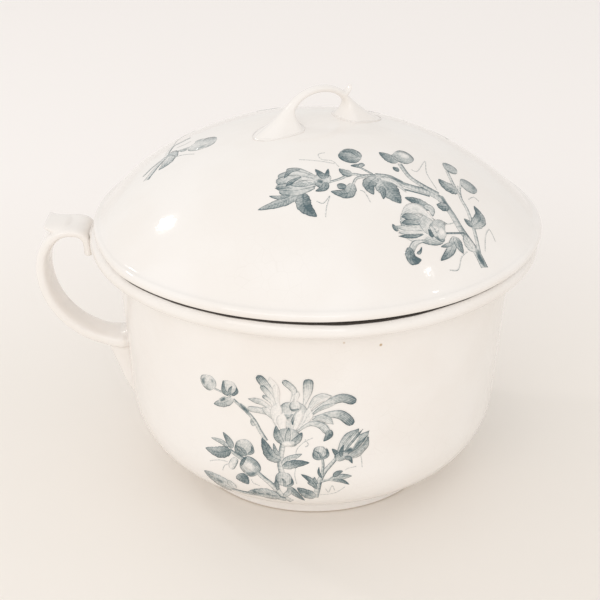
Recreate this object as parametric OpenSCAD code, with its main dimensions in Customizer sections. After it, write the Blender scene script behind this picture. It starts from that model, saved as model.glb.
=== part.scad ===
// Lidded chamber pot in glazed earthenware, in millimetres
// The origin is on the pot's axis in the plane of its foot, +Z is up and the side handle points to -X

/* [Pot body] */
// Height from the table to the top of the rim
pot_height = 135.7; // [128:0.1:160]
// Outer radius of the rolled rim
rim_radius = 114; // [110:0.1:122]
// Radius of the roll that finishes the rim
rim_roll = 5; // [4:0.1:6.5]
// Outer radius of the wall at the neck, where the rim starts to flare
neck_radius = 101.1; // [98:0.1:104]
// Height of the neck
neck_height = 118; // [108:0.1:121]
// Outer radius of the wall at the belly
belly_radius = 96.8; // [90:0.1:100]
// Radius of the arc that rounds the belly under to the foot
belly_arc = 38.5; // [34:0.1:42]
// Height of the belly arc's centre
belly_height = 46.3; // [44:0.1:50]
// Thickness of the wall and of the belly
wall = 5.5; // [4:0.1:7]
// Outer radius of the foot
foot_radius = 66.7; // [62:0.1:72]
// Width of the ring that stands on the table
foot_ring = 8; // [6:0.1:12]
// Rounding of the foot's two lower edges
foot_round = 1.2; // [0.5:0.1:2]
// Depth of the hollow under the base
base_hollow = 5; // [3:0.1:6]

/* [Lid] */
// Outer radius of the lid's edge
lid_radius = 115; // [112:0.1:122]
// Height of the dome above the rim
dome_rise = 52.3; // [40:0.1:65]
// Thickness of the dome
lid_wall = 5; // [4:0.1:7]
// Radius of the bead round the lid's edge
lid_bead = 2.6; // [2:0.1:3.2]
// How far the bead stands out from the dome
bead_proud = 0.8; // [0.4:0.1:1.4]
// Width of the flat seat that rests on the rim's roll, inside the roll's centre
seat_width = 3; // [2:0.1:4]
// Depth of the locating flange below the seat
flange_depth = 8; // [5:0.1:11]
// Thickness of the locating flange
flange_wall = 4; // [3:0.1:6]
// Side play of the flange in the pot's mouth
flange_play = 3; // [1.5:0.1:5]
// Height of the hollow between the seat and the flange
brim_hollow = 5; // [3:0.1:7]
// Gap between the resting lid and the rim
seat_gap = 0.3; // [0.2:0.05:0.6]

/* [Pot handle] */
// Distance from the pot's axis to the outside of the handle
handle_reach = 144.3; // [138:0.1:158]
// Width of the strap along its lower arm
handle_width = 15; // [12:0.1:18]
// Width of the strap over its top
handle_top_width = 24; // [19:0.1:28]
// Thickness of the strap
handle_thick = 5.8; // [4.5:0.1:8]
// Height at which the strap leaves the wall
handle_root = 68; // [62:0.1:74]
// Height of the outermost point of the strap
handle_elbow = 109; // [100:0.1:114]
// How far the top of the strap lies below the rim
handle_drop = 0.9; // [-2:0.1:4]
// Radius of the hook that turns the strap down against the rim
handle_hook = 9.5; // [7:0.1:12]
// Length of the strap's straight end below the hook
handle_tip = 2.5; // [2:0.1:6]
// Depth of the hollow along the outside of the strap
handle_dish = 0.9; // [0:0.1:1.5]
// Height of the tip of the leaf that runs down the wall from the root
tail_tip = 31; // [26:0.1:46]
// Width of that leaf at the root
tail_width = 17; // [13:0.1:22]
// How far that leaf stands out from the wall at the root
tail_thick = 11; // [7:0.1:14]
// How far the curled lip on the strap's shoulder rises above the strap
handle_lip = 2.4; // [1.5:0.1:6]
// How far out that lip reaches from the top of the strap
handle_lip_reach = 10; // [7:0.1:13]

/* [Lid handle] */
// Turn of the handle on the lid, away from +X
lid_handle_turn = 32; // [0:1:90]
// How far the handle's middle lies off the lid's axis, towards its back foot
lid_handle_offset = 2.5; // [0:0.1:5]
// Distance between the outer tips of the two leaf feet
lid_handle_length = 71; // [64:0.5:78]
// Height of the arch above the top of the dome
lid_handle_rise = 17.5; // [15:0.1:24]
// Distance between the middles of the arch's two legs
lid_arch_span = 35; // [32:0.1:40]
// Width of the arch at its top
lid_strap_width = 4.4; // [3.5:0.1:6]
// Thickness of the arch
lid_strap_thick = 3.2; // [2.8:0.1:5]
// Width of each leg where it joins its foot
lid_leg_width = 6.4; // [6:0.1:9]
// Width of one leaf foot
lid_foot_width = 20; // [14:0.1:24]
// How far one leaf foot reaches inwards from its leg
lid_foot_heel = 5.5; // [4:0.1:8]
// Height of one flared foot
lid_foot_rise = 10; // [8:0.1:12]
// How far the small curled lip on the back leg reaches up and out
lid_lip = 5; // [3:0.1:7]

/* [Slip joints] */
// Thickness of the beds of slip that hold the handles
slip_thick = 0.7; // [0.4:0.05:1.2]
// Gap on each side of a bed of slip
slip_gap = 0.05; // [0.03:0.01:0.1]

/* [Hidden] */
$fn = 144;
glaze = [0.93, 0.91, 0.86];
bare_slip = [0.88, 0.84, 0.77];

// Section of the pot: the wall is tangent to the belly arc, the cove to the wall and to the roll
belly = [belly_radius - belly_arc, belly_height];
neck = [neck_radius, neck_height];
roll = [rim_radius - rim_roll, pot_height - rim_roll];
lean = atan2(neck.y - belly.y, neck.x - belly.x) - acos(belly_arc / norm(neck - belly));
outward = [cos(lean), sin(lean)];
wall_foot = belly + belly_arc * outward;
neck_to_roll = neck - roll;
cove_radius = (neck_to_roll * neck_to_roll - rim_roll ^ 2) / (2 * (rim_roll - neck_to_roll * outward));
cove = neck + cove_radius * outward;
neck_inside = neck - wall * outward;
mouth_reach = norm(roll - neck_inside);
mouth_turn = atan2(roll.y - neck_inside.y, roll.x - neck_inside.x) + asin(rim_roll / mouth_reach);
mouth_length = sqrt(mouth_reach ^ 2 - rim_roll ^ 2);
mouth = neck_inside + mouth_length * [cos(mouth_turn), sin(mouth_turn)];
floor_height = belly.y - belly_arc + wall;

// Section of the lid
seat = pot_height + seat_gap;
bead = [lid_radius - lid_bead, seat + lid_bead];
dome_top = pot_height + dome_rise;
dome_edge = [lid_radius - bead_proud, dome_top - bead.y];
dome_radius = (dome_edge * dome_edge) / (2 * dome_edge.y);
dome_centre = dome_top - dome_radius;
flange_foot = seat - flange_depth;
mouth_slope = (mouth.x - neck_inside.x) / (mouth.y - neck_inside.y);
flange_radius = neck_inside.x + (flange_foot - neck_inside.y) * mouth_slope - flange_play;

// Places of the handles: bed is the offset at which clay meets slip
bed = slip_thick + 2 * slip_gap;
strap_reach = handle_reach - handle_thick / 2;
strap_top = pot_height - handle_drop - handle_thick / 2;
hook_tuck = rim_roll / 2;
hook_radius = rim_radius + bed + handle_thick / 2 - hook_tuck;
hook_centre = hook_radius + handle_hook;
hook_level = strap_top - handle_hook;
root_radius = wall_radius_at(handle_root);
root_run = 2;
leaf_top = handle_root + handle_thick;
leg_place = lid_arch_span / 2;
foot_reach = lid_handle_length / 2 - leg_place;
arch_spring = dome_top + lid_foot_rise / 3;
arch_rise = dome_top + lid_handle_rise - lid_strap_thick / 2 - arch_spring;

// Shape of the cross sections: points round a ring, and how square its corners are (2 is an ellipse)
ring_count = 24;
oval_square = 2;
strap_square = 3;
hook_square = 3;
strap_steps = 14;
leaf_steps = 16;
lip_steps = 5;
flare_steps = 7;
// Share of the strap's length at which it has its full width, how late it widens, and the swell of its root
top_share = 0.7;
width_curve = 3;
root_swell = 1.2;
// Turn at which the hook takes over from the upper bend, and the step that a bend's direction is taken over
hook_turn = 105;
turn_step = 1;
// Where the leaf on the wall stands out most, as a share of its length, and how blunt its two ends are
tail_crest = 0.28;
tail_blunt = 0.6;
leaf_edge = 0.5;
// How square the leaf's cross section is, and how its width falls towards the tip
leaf_square = 0.6;
leaf_taper = 0.7;
// Lips: width and thickness beside the strap's, and how much of them is left at the tip
lip_share = 0.62;
lip_width_left = 0.85;
lip_thick_left = 0.4;
lip_end = -8;
// Feet on the lid: curve of the flare, and the turn of the arch at which its legs end and its lip starts
flare_curve = 1.4;
leg_turn = 14;
lid_lip_turn = 38;
// Shares of the outline that divide the underside of a foot, and of a bed of slip, into rings
pad_shares = [0.05, 0.4, 0.75];
// Turn of the bed of slip round the rim's roll, its share of the strap, how blunt its ends are, and its
// inset from the clay's edge
slip_turn = 40;
slip_share = 0.4;
slip_curve = 4;
slip_inset = 0.4;
// Room for the flats of a hollow face that lies against a round one
facet_room = 0.15;

// Radius of the pot's outside at a height between the foot and the neck
function wall_radius_at(z) =
    z < wall_foot.y
        ? belly.x + sqrt(belly_arc ^ 2 - (belly.y - z) ^ 2)
        : wall_foot.x + (z - wall_foot.y) * (neck.x - wall_foot.x) / (neck.y - wall_foot.y);

// A point of the pot's wall, of the rim's roll and of the dome, each raised by an offset
function on_wall(z, y, off) =
    let (r = wall_radius_at(z) + off) [-sqrt(r ^ 2 - y ^ 2), y, z];
function on_roll(turn, y, off) =
    let (r = roll.x + (rim_roll + off) * cos(turn))
    [-sqrt(r ^ 2 - y ^ 2), y, roll.y + (rim_roll + off) * sin(turn)];
function on_dome(u, v, off) =
    [u, v, dome_centre + sqrt((dome_radius + off) ^ 2 - u ^ 2 - v ^ 2)];

// A point kept outside the rim's roll
function clear_of_roll(p, off) =
    let (r = norm([p.x, p.y]), d = [r - roll.x, p.z - roll.y], reach = rim_roll + off)
    norm(d) >= reach
        ? p
        : let (q = roll.x + sqrt(reach ^ 2 - d.y ^ 2)) [p.x * q / r, p.y * q / r, p.z];

// Round coordinates of one ring: x across the piece and y through it, both from -1 to 1
function power(x, p) = sign(x) * abs(x) ^ p;
function ring_turns() = [for (k = [0 : ring_count - 1]) 360 * k / ring_count];
function rounded(turn, square) = [power(cos(turn), 2 / square), power(sin(turn), 2 / square)];

// Closed skin over a row of rings, with strips across the two ends
module skin(rings) {
    n = len(rings[0]);
    half = n / 2;
    last = (len(rings) - 1) * n;
    sides = [for (i = [0 : len(rings) - 2]) for (j = [0 : n - 1])
        let (a = i * n + j, b = i * n + (j + 1) % n)
        each [[a, a + n, b + n], [a, b + n, b]]];
    strips = [for (k = [1 : half - 2]) each [[k, k + 1, n - k - 1], [k, n - k - 1, n - k]]];
    start = concat([[0, 1, n - 1], [half - 1, half, half + 1]], strips);
    finish = [for (f = start) [last + f[2], last + f[1], last + f[0]]];
    polyhedron([for (r = rings) each r], concat(start, finish, sides));
}

// A lens or leaf that lies on a surface: base is the offset of its underside, crown its height above that
function lens(place, base, crown) =
    [for (turn = ring_turns()) place(cos(turn), base + crown * max(0, sin(turn)) ^ leaf_square)];

// Corner left when a round of the given radius is set into a right angle
module corner(radius) {
    difference() {
        square(radius);
        translate([radius, radius]) circle(radius);
    }
}

module pot_section() {
    difference() {
        union() {
            square([foot_radius, belly.y]);
            translate(belly) circle(belly_arc);
            polygon([[0, belly.y], wall_foot, neck, neck_inside, [0, neck_inside.y]]);
        }
        square([foot_radius - foot_ring, base_hollow]);
        translate([0, floor_height]) square([belly.x, belly.y - floor_height]);
        translate(belly) circle(belly_arc - wall);
        polygon([[0, belly.y], belly + (belly_arc - wall) * outward, neck_inside,
                 [neck_inside.x, pot_height], [0, pot_height]]);
        translate([foot_radius, 0]) mirror([1, 0]) corner(foot_round);
        translate([foot_radius - foot_ring, 0]) corner(foot_round);
    }
    difference() {
        polygon([neck_inside, neck, cove, roll, mouth]);
        translate(cove) circle(cove_radius);
    }
    translate(roll) circle(rim_roll);
}

module pot_body() {
    color(glaze) rotate_extrude() intersection() {
        pot_section();
        square([rim_radius, pot_height]);
    }
}

module lid_section() {
    flange_inside = flange_radius - flange_wall;
    difference() {
        intersection() {
            translate([0, dome_centre]) circle(dome_radius);
            polygon([[0, seat], [bead.x, seat], bead, [lid_radius, bead.y],
                     [lid_radius, dome_top], [0, dome_top]]);
        }
        intersection() {
            translate([0, dome_centre]) circle(dome_radius - lid_wall);
            square([flange_inside, dome_top]);
        }
        polygon([[flange_radius, seat], [roll.x - seat_width, seat], [flange_radius, seat + brim_hollow]]);
    }
    translate(bead) circle(lid_bead);
    translate([flange_inside, flange_foot + flange_wall / 2])
        square([flange_wall, seat + brim_hollow - flange_foot]);
    translate([flange_inside + flange_wall / 2, flange_foot + flange_wall / 2]) circle(flange_wall / 2);
}

module lid() {
    color(glaze) rotate_extrude() lid_section();
}

// Point of an oval arc, and a stretch of such an arc as [radius, height, direction]
function oval(centre, size, square, a) =
    [centre.x + size.x * power(cos(a), 2 / square), centre.y + size.y * power(sin(a), 2 / square)];
function bend(centre, size, square, from, to, steps) =
    [for (i = [0 : steps]) let (
        a = from + (to - from) * i / steps,
        p = oval(centre, size, square, a),
        d = oval(centre, size, square, a + turn_step) - oval(centre, size, square, a - turn_step))
        [p.x, p.y, atan2(d.y, d.x)]];

// One ring of a band that follows such a line on the -X side, hollowed along its outside by dish
function band(at, width, thick, square, dish) =
    [for (turn = ring_turns()) let (
        q = rounded(turn, square),
        s = q.y * thick / 2 - dish * (1 - q.x ^ 2) * max(0, q.y))
        [-(at.x + s * sin(at.z)), q.x * width / 2, at.y - s * cos(at.z)]];

// A lip that leaves a band, curls outwards and up, and thins towards its end
function lip(root, out, up, width, thick) =
    let (line = bend([root.x, root.y + up], [out, up], oval_square, -90, lip_end, lip_steps))
    [for (i = [0 : lip_steps]) let (t = i / lip_steps)
        band(line[i], width * (1 - t + t * lip_width_left), thick * (1 - t + t * lip_thick_left),
             oval_square, 0)];

// Middle line of the strap, from the root round to the tip
root_end = [root_radius + root_run, handle_elbow];
lower_bend = bend(root_end, [strap_reach - root_end.x, handle_elbow - handle_root], oval_square,
                  -90, 0, strap_steps);
upper_bend = bend([hook_centre, handle_elbow], [strap_reach - hook_centre, strap_top - handle_elbow],
                  oval_square, 90 / strap_steps, 90, strap_steps - 1);
hook_bend = bend([hook_centre, hook_level], [handle_hook, handle_hook], hook_square,
                 hook_turn, 180, strap_steps / 2);
tip_end = [hook_radius, hook_level - handle_tip, -90];
strap_line = concat(lower_bend, upper_bend, hook_bend, [tip_end]);
function strap_width(i) =
    let (t = i / (len(strap_line) - 1))
    handle_width + (handle_top_width - handle_width) * sin(90 * min(1, t / top_share)) ^ width_curve;

// The ring at the wall, where the strap ends on the curve of the pot
function root_ring(width, thick) =
    [for (turn = ring_turns()) let (q = rounded(turn, strap_square))
        on_wall(handle_root - q.y * thick / 2, q.x * width / 2, bed)];

// Ring of the leaf below the root: t runs from 0 above the strap to 1 at the leaf's tip
function tail_height(t) = leaf_top + (tail_tip - leaf_top) * t;
function tail_half_width(t) =
    tail_width / 2 * min(1, tail_blunt + t / tail_crest) * (1 - t) ^ leaf_taper + leaf_edge;
function tail_rise(t) =
    tail_thick * (t < tail_crest ? sin(90 * t / tail_crest) : (1 - t) / (1 - tail_crest)) + leaf_edge;
function tail_ring(t) =
    lens(function (v, off) on_wall(tail_height(t), -v * tail_half_width(t), off), bed, tail_rise(t));

module pot_handle() {
    strap = [for (i = [0 : len(strap_line) - 1])
        [for (p = band(strap_line[i], strap_width(i), handle_thick, strap_square, handle_dish))
            clear_of_roll(p, bed + facet_room)]];
    color(glaze) {
        skin(concat([root_ring(handle_width * root_swell, handle_thick * root_swell)], strap));
        skin([for (i = [0 : leaf_steps]) tail_ring(i / leaf_steps)]);
        skin(lip([hook_centre, strap_top], handle_lip_reach, handle_lip + handle_thick / 2,
                 handle_top_width * lip_share, handle_thick * lip_share));
    }
}

// Bed of slip between the strap's tip and the rim
module handle_upper_slip() {
    color(bare_slip) skin([for (i = [0 : leaf_steps]) let (
        turn = slip_turn * (2 * i / leaf_steps - 1),
        half_width = handle_top_width * slip_share * (1 - (turn / slip_turn) ^ slip_curve) + leaf_edge)
        lens(function (v, off) on_roll(turn, v * half_width, off), slip_gap, slip_thick)]);
}

// Bed of slip between the root with its leaf and the wall
module handle_lower_slip() {
    color(bare_slip) skin([for (i = [0 : leaf_steps]) let (t = i / leaf_steps)
        lens(function (v, off) on_wall(tail_height(t), -v * (tail_half_width(t) - slip_inset), off),
             slip_gap, slip_thick)]);
}

// Outline of a leaf foot round its leg, longer on its outer side, and the leg's own outline
function foot_outline(turn) =
    [(cos(turn) > 0 ? foot_reach : lid_foot_heel) * cos(turn), lid_foot_width / 2 * sin(turn)];
function leg_outline(turn) =
    [lid_strap_thick * cos(turn), lid_leg_width / 2 * sin(turn)];

// A point over the dome, placed from the leg on the front side (-1) or the back side (1)
function by_leg(p, off, side) =
    on_dome(lid_handle_offset + side * (leg_place + p.x), side * p.y, off);

// Rings of a flared foot: across its hollow underside, then up from the dome to the leg
function foot_rings(side) = concat(
    [for (s = pad_shares) [for (turn = ring_turns()) by_leg(s * foot_outline(turn), bed, side)]],
    [for (i = [0 : flare_steps]) let (t = i / flare_steps, spread = (1 - t) ^ flare_curve)
        [for (turn = ring_turns())
            by_leg(leg_outline(turn) * (1 - spread) + foot_outline(turn) * spread,
                   bed + lid_foot_rise * t, side)]]);

// Rings of the arch between the legs, and of the lip on the back leg
function half_turn(ring) = [for (p = ring) [-p.x, -p.y, p.z]];
arch_middle = [lid_handle_offset, arch_spring];
arch_size = [leg_place, arch_rise];
arch_line = bend(arch_middle, arch_size, oval_square, leg_turn, 180 - leg_turn, 2 * strap_steps);
function arch_width(i) =
    lid_strap_width + (lid_leg_width - lid_strap_width) * (i / strap_steps - 1) ^ 2;

module lid_handle() {
    color(glaze) rotate(lid_handle_turn) {
        skin([for (i = [0 : 2 * strap_steps])
            half_turn(band(arch_line[i], arch_width(i), lid_strap_thick, oval_square, 0))]);
        skin([for (ring = lip(oval(arch_middle, arch_size, oval_square, lid_lip_turn), lid_lip, lid_lip,
                              lid_leg_width, lid_strap_thick)) half_turn(ring)]);
        for (side = [-1, 1]) skin(foot_rings(side));
    }
}

// Bed of slip under one leaf foot: out along its underside and back along its top
module lid_foot_slip(side) {
    shares = concat(pad_shares, [1]);
    inside = 1 - slip_inset / lid_foot_heel;
    function pad_ring(share, off) =
        [for (turn = ring_turns()) by_leg(share * inside * foot_outline(turn), off, side)];
    color(bare_slip) rotate(lid_handle_turn) skin(concat(
        [for (i = [0 : len(shares) - 1]) pad_ring(shares[i], slip_gap)],
        [for (i = [len(shares) - 1 : -1 : 0]) pad_ring(shares[i], slip_gap + slip_thick)]));
}

module lid_handle_front_slip() lid_foot_slip(-1);

module lid_handle_back_slip() lid_foot_slip(1);

pot_body();
pot_handle();
handle_upper_slip();
handle_lower_slip();
lid();
lid_handle();
lid_handle_front_slip();
lid_handle_back_slip();
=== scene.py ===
# %% [markdown]
# # A printed chamber pot with its lid
# The object is a pot of white glazed earthenware: a turned body, a turned lid, two pressed handles that
# are stuck on with slip, and sprays of flowers printed in slate blue under the glaze. The sizes come from
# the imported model, so every piece here is built in the same frame, in metres, on the same axis.

# %% Load the frame
import math

import bmesh
import bpy
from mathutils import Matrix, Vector


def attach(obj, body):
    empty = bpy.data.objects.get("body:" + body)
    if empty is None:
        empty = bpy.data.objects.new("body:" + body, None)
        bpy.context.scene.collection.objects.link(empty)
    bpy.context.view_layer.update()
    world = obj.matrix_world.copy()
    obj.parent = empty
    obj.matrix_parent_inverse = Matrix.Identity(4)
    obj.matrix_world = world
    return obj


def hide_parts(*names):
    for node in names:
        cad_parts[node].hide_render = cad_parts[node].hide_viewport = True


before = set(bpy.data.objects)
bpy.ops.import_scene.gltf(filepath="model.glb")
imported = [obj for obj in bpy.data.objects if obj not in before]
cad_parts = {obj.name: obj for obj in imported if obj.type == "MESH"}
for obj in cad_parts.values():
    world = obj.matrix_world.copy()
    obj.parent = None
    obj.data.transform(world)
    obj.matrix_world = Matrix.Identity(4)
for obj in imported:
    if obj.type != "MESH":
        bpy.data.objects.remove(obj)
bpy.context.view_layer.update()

mm = 0.001

# %% [markdown]
# ## The camera
# The photograph looks down on the pot by about 26 degrees, from about 65 centimetres away. The lens follows
# from the picture's width of 600 pixels and the focal length that was fitted to the ellipses of the rim and
# the foot.

# %% Camera
PICTURE_WIDTH = 600
FOCAL_PIXELS = 1229.06
LOOK_DOWN = 26.414
CAMERA_AT = (-0.0070, -0.5839, 0.3789)
SENSOR_WIDTH = 36


def add_object(name, data):
    thing = bpy.data.objects.new(name, data)
    bpy.context.scene.collection.objects.link(thing)
    return thing


camera_data = bpy.data.cameras.new("photo_camera")
camera_data.sensor_width = SENSOR_WIDTH
camera_data.lens = SENSOR_WIDTH * FOCAL_PIXELS / PICTURE_WIDTH
camera = add_object("photo_camera", camera_data)
camera.location = CAMERA_AT
camera.rotation_euler = (math.radians(90 - LOOK_DOWN), 0, 0)
bpy.context.scene.camera = camera
bpy.context.scene.view_settings.view_transform = "Standard"
print("lens in mm:", round(camera_data.lens, 2))

# %% [markdown]
# ## The glaze
# Old white glaze isn't one colour. It is a warm white that pools and thins in broad soft patches, it has a
# net of cracks finer than a hair, and a few specks of iron. The pot, the lid, the handles and the print all
# lie under the same glaze, so the effect is a node group, built once. It puts out a colour, a roughness and
# a height for the faint ripple that bends reflections.

# %% Node helpers
COLOR_A, COLOR_B, COLOR_RESULT = 6, 7, 2


def add_node(tree, kind, **values):
    node = tree.nodes.new(kind)
    for name, value in values.items():
        setattr(node, name, value)
    return node


def new_group(name, inputs, outputs):
    group = bpy.data.node_groups.new(name, "ShaderNodeTree")
    for label, kind in inputs:
        group.interface.new_socket(label, in_out="INPUT", socket_type=kind)
    for label, kind in outputs:
        group.interface.new_socket(label, in_out="OUTPUT", socket_type=kind)
    return group, add_node(group, "NodeGroupInput"), add_node(group, "NodeGroupOutput")


def object_place(tree):
    return add_node(tree, "ShaderNodeTexCoord").outputs["Object"]


def place_xyz(tree):
    node = add_node(tree, "ShaderNodeSeparateXYZ")
    tree.links.new(object_place(tree), node.inputs["Vector"])
    return node.outputs["X"], node.outputs["Y"], node.outputs["Z"]


def noise(tree, per_metre, detail=2.0):
    node = add_node(tree, "ShaderNodeTexNoise")
    node.inputs["Scale"].default_value = per_metre
    node.inputs["Detail"].default_value = detail
    tree.links.new(object_place(tree), node.inputs["Vector"])
    return node.outputs["Fac"]


def cells(tree, per_metre, **values):
    node = add_node(tree, "ShaderNodeTexVoronoi", **values)
    node.inputs["Scale"].default_value = per_metre
    tree.links.new(object_place(tree), node.inputs["Vector"])
    return node.outputs


def remap(tree, value, low, high, out_low=0.0, out_high=1.0):
    node = add_node(tree, "ShaderNodeMapRange", interpolation_type="SMOOTHSTEP")
    tree.links.new(value, node.inputs["Value"])
    for label, number in (("From Min", low), ("From Max", high), ("To Min", out_low), ("To Max", out_high)):
        node.inputs[label].default_value = number
    return node.outputs["Result"]


def sums(tree, operation, a, b):
    node = add_node(tree, "ShaderNodeMath", operation=operation)
    for socket, value in zip(node.inputs, (a, b)):
        if isinstance(value, (int, float)):
            socket.default_value = value
        else:
            tree.links.new(value, socket)
    return node.outputs["Value"]


def plus(tree, *terms):
    total = terms[0]
    for term in terms[1:]:
        total = sums(tree, "ADD", total, term)
    return total


def times(tree, a, b):
    return sums(tree, "MULTIPLY", a, b)


def tint(tree, share, a, b):
    node = add_node(tree, "ShaderNodeMix", data_type="RGBA")
    tree.links.new(share, node.inputs["Factor"])
    for number, value in ((COLOR_A, a), (COLOR_B, b)):
        if isinstance(value, tuple):
            node.inputs[number].default_value = value
        else:
            tree.links.new(value, node.inputs[number])
    return node.outputs[COLOR_RESULT]


# %% Glaze group
CRACK_TONE = (0.50, 0.43, 0.35, 1)
SPECK_TONE = (0.33, 0.22, 0.13, 1)
PATCHES_PER_METRE = 22
CRACKS_PER_METRE = 150
SPECKS_PER_METRE = 55
GLOSS_ROUGHNESS = (0.07, 0.15)

glaze_group, given, made = new_group(
    "old_glaze",
    [("Thick", "NodeSocketColor"), ("Thin", "NodeSocketColor")],
    [("Color", "NodeSocketColor"), ("Roughness", "NodeSocketFloat"), ("Height", "NodeSocketFloat")],
)
patches = remap(glaze_group, noise(glaze_group, PATCHES_PER_METRE, 3), 0.35, 0.68)
tone = tint(glaze_group, patches, given.outputs["Thick"], given.outputs["Thin"])

cracks = cells(glaze_group, CRACKS_PER_METRE, feature="DISTANCE_TO_EDGE")
crack_line = remap(glaze_group, cracks["Distance"], 0.0, 0.030, 0.07, 0.0)
crack_here = remap(glaze_group, noise(glaze_group, 14), 0.52, 0.72)
tone = tint(glaze_group, times(glaze_group, crack_line, crack_here), tone, CRACK_TONE)

specks = cells(glaze_group, SPECKS_PER_METRE)
speck_dot = remap(glaze_group, specks["Distance"], 0.018, 0.04, 0.75, 0.0)
speck_pick = add_node(glaze_group, "ShaderNodeSeparateColor")
glaze_group.links.new(specks["Color"], speck_pick.inputs["Color"])
speck_here = remap(glaze_group, speck_pick.outputs["Red"], 0.93, 0.95)
tone = tint(glaze_group, times(glaze_group, speck_dot, speck_here), tone, SPECK_TONE)

gloss = remap(glaze_group, noise(glaze_group, 30), 0.3, 0.7, *GLOSS_ROUGHNESS)
ripple = plus(glaze_group, noise(glaze_group, 45, 1), noise(glaze_group, 260))
glaze_group.links.new(tone, made.inputs["Color"])
glaze_group.links.new(gloss, made.inputs["Roughness"])
glaze_group.links.new(ripple, made.inputs["Height"])
print("glaze group has", len(glaze_group.nodes), "nodes")

# %% [markdown]
# Each material places that group and gives it its two tones. The shader stays in the material itself. A
# coat isn't needed: a glaze is already a smooth glassy surface, so a low roughness gives its gloss.

# %% Material helpers
THICK_GLAZE = (0.888, 0.846, 0.806, 1)
THIN_GLAZE = (0.912, 0.878, 0.846, 1)


def new_material(name):
    material = bpy.data.materials.new(name)
    material.use_nodes = True
    return material, material.node_tree, material.node_tree.nodes["Principled BSDF"]


def place_glaze(tree):
    node = add_node(tree, "ShaderNodeGroup", node_tree=glaze_group)
    node.inputs["Thick"].default_value = THICK_GLAZE
    node.inputs["Thin"].default_value = THIN_GLAZE
    return node


def ripple_normal(tree, shader, height):
    bump = add_node(tree, "ShaderNodeBump")
    bump.inputs["Strength"].default_value = 0.05
    bump.inputs["Distance"].default_value = 1 * mm
    tree.links.new(height, bump.inputs["Height"])
    tree.links.new(bump.outputs["Normal"], shader.inputs["Normal"])


# %% [markdown]
# Where clay touches something in the kiln, the glaze is wiped off first, or it would stick: on the ring
# that the pot stands on, along a line on the crest of its rim and on the seat of the lid. The line and the
# seat lie in the slit under the lid, and their colours are also painted shade for that slit. Near the handle
# the lid's edge is drawn in, and the line and the seat go in with it. A speck of iron is a bare place too,
# with a colour of its own. Each rule gives the share of clay that shows.

# %% Bare places and painted shade
CREST = (110.0, 112.1)
SEAT = (106.0, 112.1)
RING_WAVER = 0.12
DRAWN_IN = 3.4
DRAWN_FROM, DRAWN_TO = 85, 115


def foot_bare(tree):
    _, _, z = place_xyz(tree)
    return remap(tree, z, 0.4 * mm, 0.9 * mm, 1.0, 0.0)


# A ring of bare clay whose colour also paints the shade in the slit under the lid.
def bare_and_shade_ring(tree, inner, outer, soft):
    x, y, z = place_xyz(tree)
    radius = sums(tree, "SQRT", plus(tree, times(tree, x, x), times(tree, y, y)), 0.0)
    waver = remap(tree, noise(tree, 60), 0.2, 0.8, -RING_WAVER * mm, RING_WAVER * mm)
    drawn = remap(tree, x, -DRAWN_TO * mm, -DRAWN_FROM * mm, DRAWN_IN * mm, 0.0)
    radius = plus(tree, radius, waver, drawn)
    inside = remap(tree, radius, (inner - soft) * mm, inner * mm)
    outside = remap(tree, radius, (outer - 0.35) * mm, outer * mm, 1.0, 0.0)
    return times(tree, inside, outside), z


# The line on the crest of the rim: bare clay painted nearly black, as painted shade for the slit under the
# lid.
def crest_line_painted_shade(tree):
    ring, z = bare_and_shade_ring(tree, *CREST, 0.7)
    return times(tree, ring, remap(tree, z, 131 * mm, 132 * mm))


# The seat of the lid: bare clay, painted darker as painted shade in the slit under the lid.
def seat_bare_and_shade(tree):
    ring, z = bare_and_shade_ring(tree, *SEAT, 1.0)
    return times(tree, ring, remap(tree, z, 136.6 * mm, 137.2 * mm, 1.0, 0.0))


def iron_speck(at, size, share):
    def speck(tree):
        gap = add_node(tree, "ShaderNodeVectorMath", operation="DISTANCE")
        tree.links.new(object_place(tree), gap.inputs[0])
        gap.inputs[1].default_value = Vector(at) * mm
        return remap(tree, gap.outputs["Value"], 0.3 * size * mm, size * mm, share, 0.0)
    return speck


# %% [markdown]
# The foot ring is bare buff clay. The line on the rim is painted nearly black, as painted shade for the slit
# under the lid, and the seat of the lid is painted a darker clay, which deepens that painted shade. The two
# specks lie on the wall below the rim. The handles and the beds of slip are glazed all over.

# %% Glaze materials
BARE_CLAY = (0.62, 0.50, 0.37, 1)
# Nearly black: painted shade for the slit under the lid, on the bare line of the crest.
SLIT_SHADE_CLAY = (0.066, 0.055, 0.048, 1)
# Bare clay of the lid's seat, kept dark as painted shade for the slit under the lid.
SEAT_CLAY_AND_SHADE = (0.40, 0.33, 0.26, 1)
IRON = (0.42, 0.25, 0.08, 1)
CLAY_ROUGHNESS = 0.85


def glaze_material(name, *bare_places):
    material, tree, shader = new_material(name)
    glaze = place_glaze(tree)
    color, roughness = glaze.outputs["Color"], glaze.outputs["Roughness"]
    for bare, clay in bare_places:
        share = bare(tree)
        color = tint(tree, share, color, clay)
        roughness = sums(tree, "MAXIMUM", roughness, times(tree, share, CLAY_ROUGHNESS))
    tree.links.new(color, shader.inputs["Base Color"])
    tree.links.new(roughness, shader.inputs["Roughness"])
    ripple_normal(tree, shader, glaze.outputs["Height"])
    return material


body_glaze = glaze_material("body_glaze", (foot_bare, BARE_CLAY), (crest_line_painted_shade, SLIT_SHADE_CLAY),
                            (iron_speck((29.5, -96.4, 114.1), 1.0, 0.8), IRON),
                            (iron_speck((12.7, -100.2, 117.2), 0.8, 0.45), IRON))
lid_glaze = glaze_material("lid_glaze", (seat_bare_and_shade, SEAT_CLAY_AND_SHADE))
ware_glaze = glaze_material("ware_glaze")
print("materials:", [m.name for m in bpy.data.materials])

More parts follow.
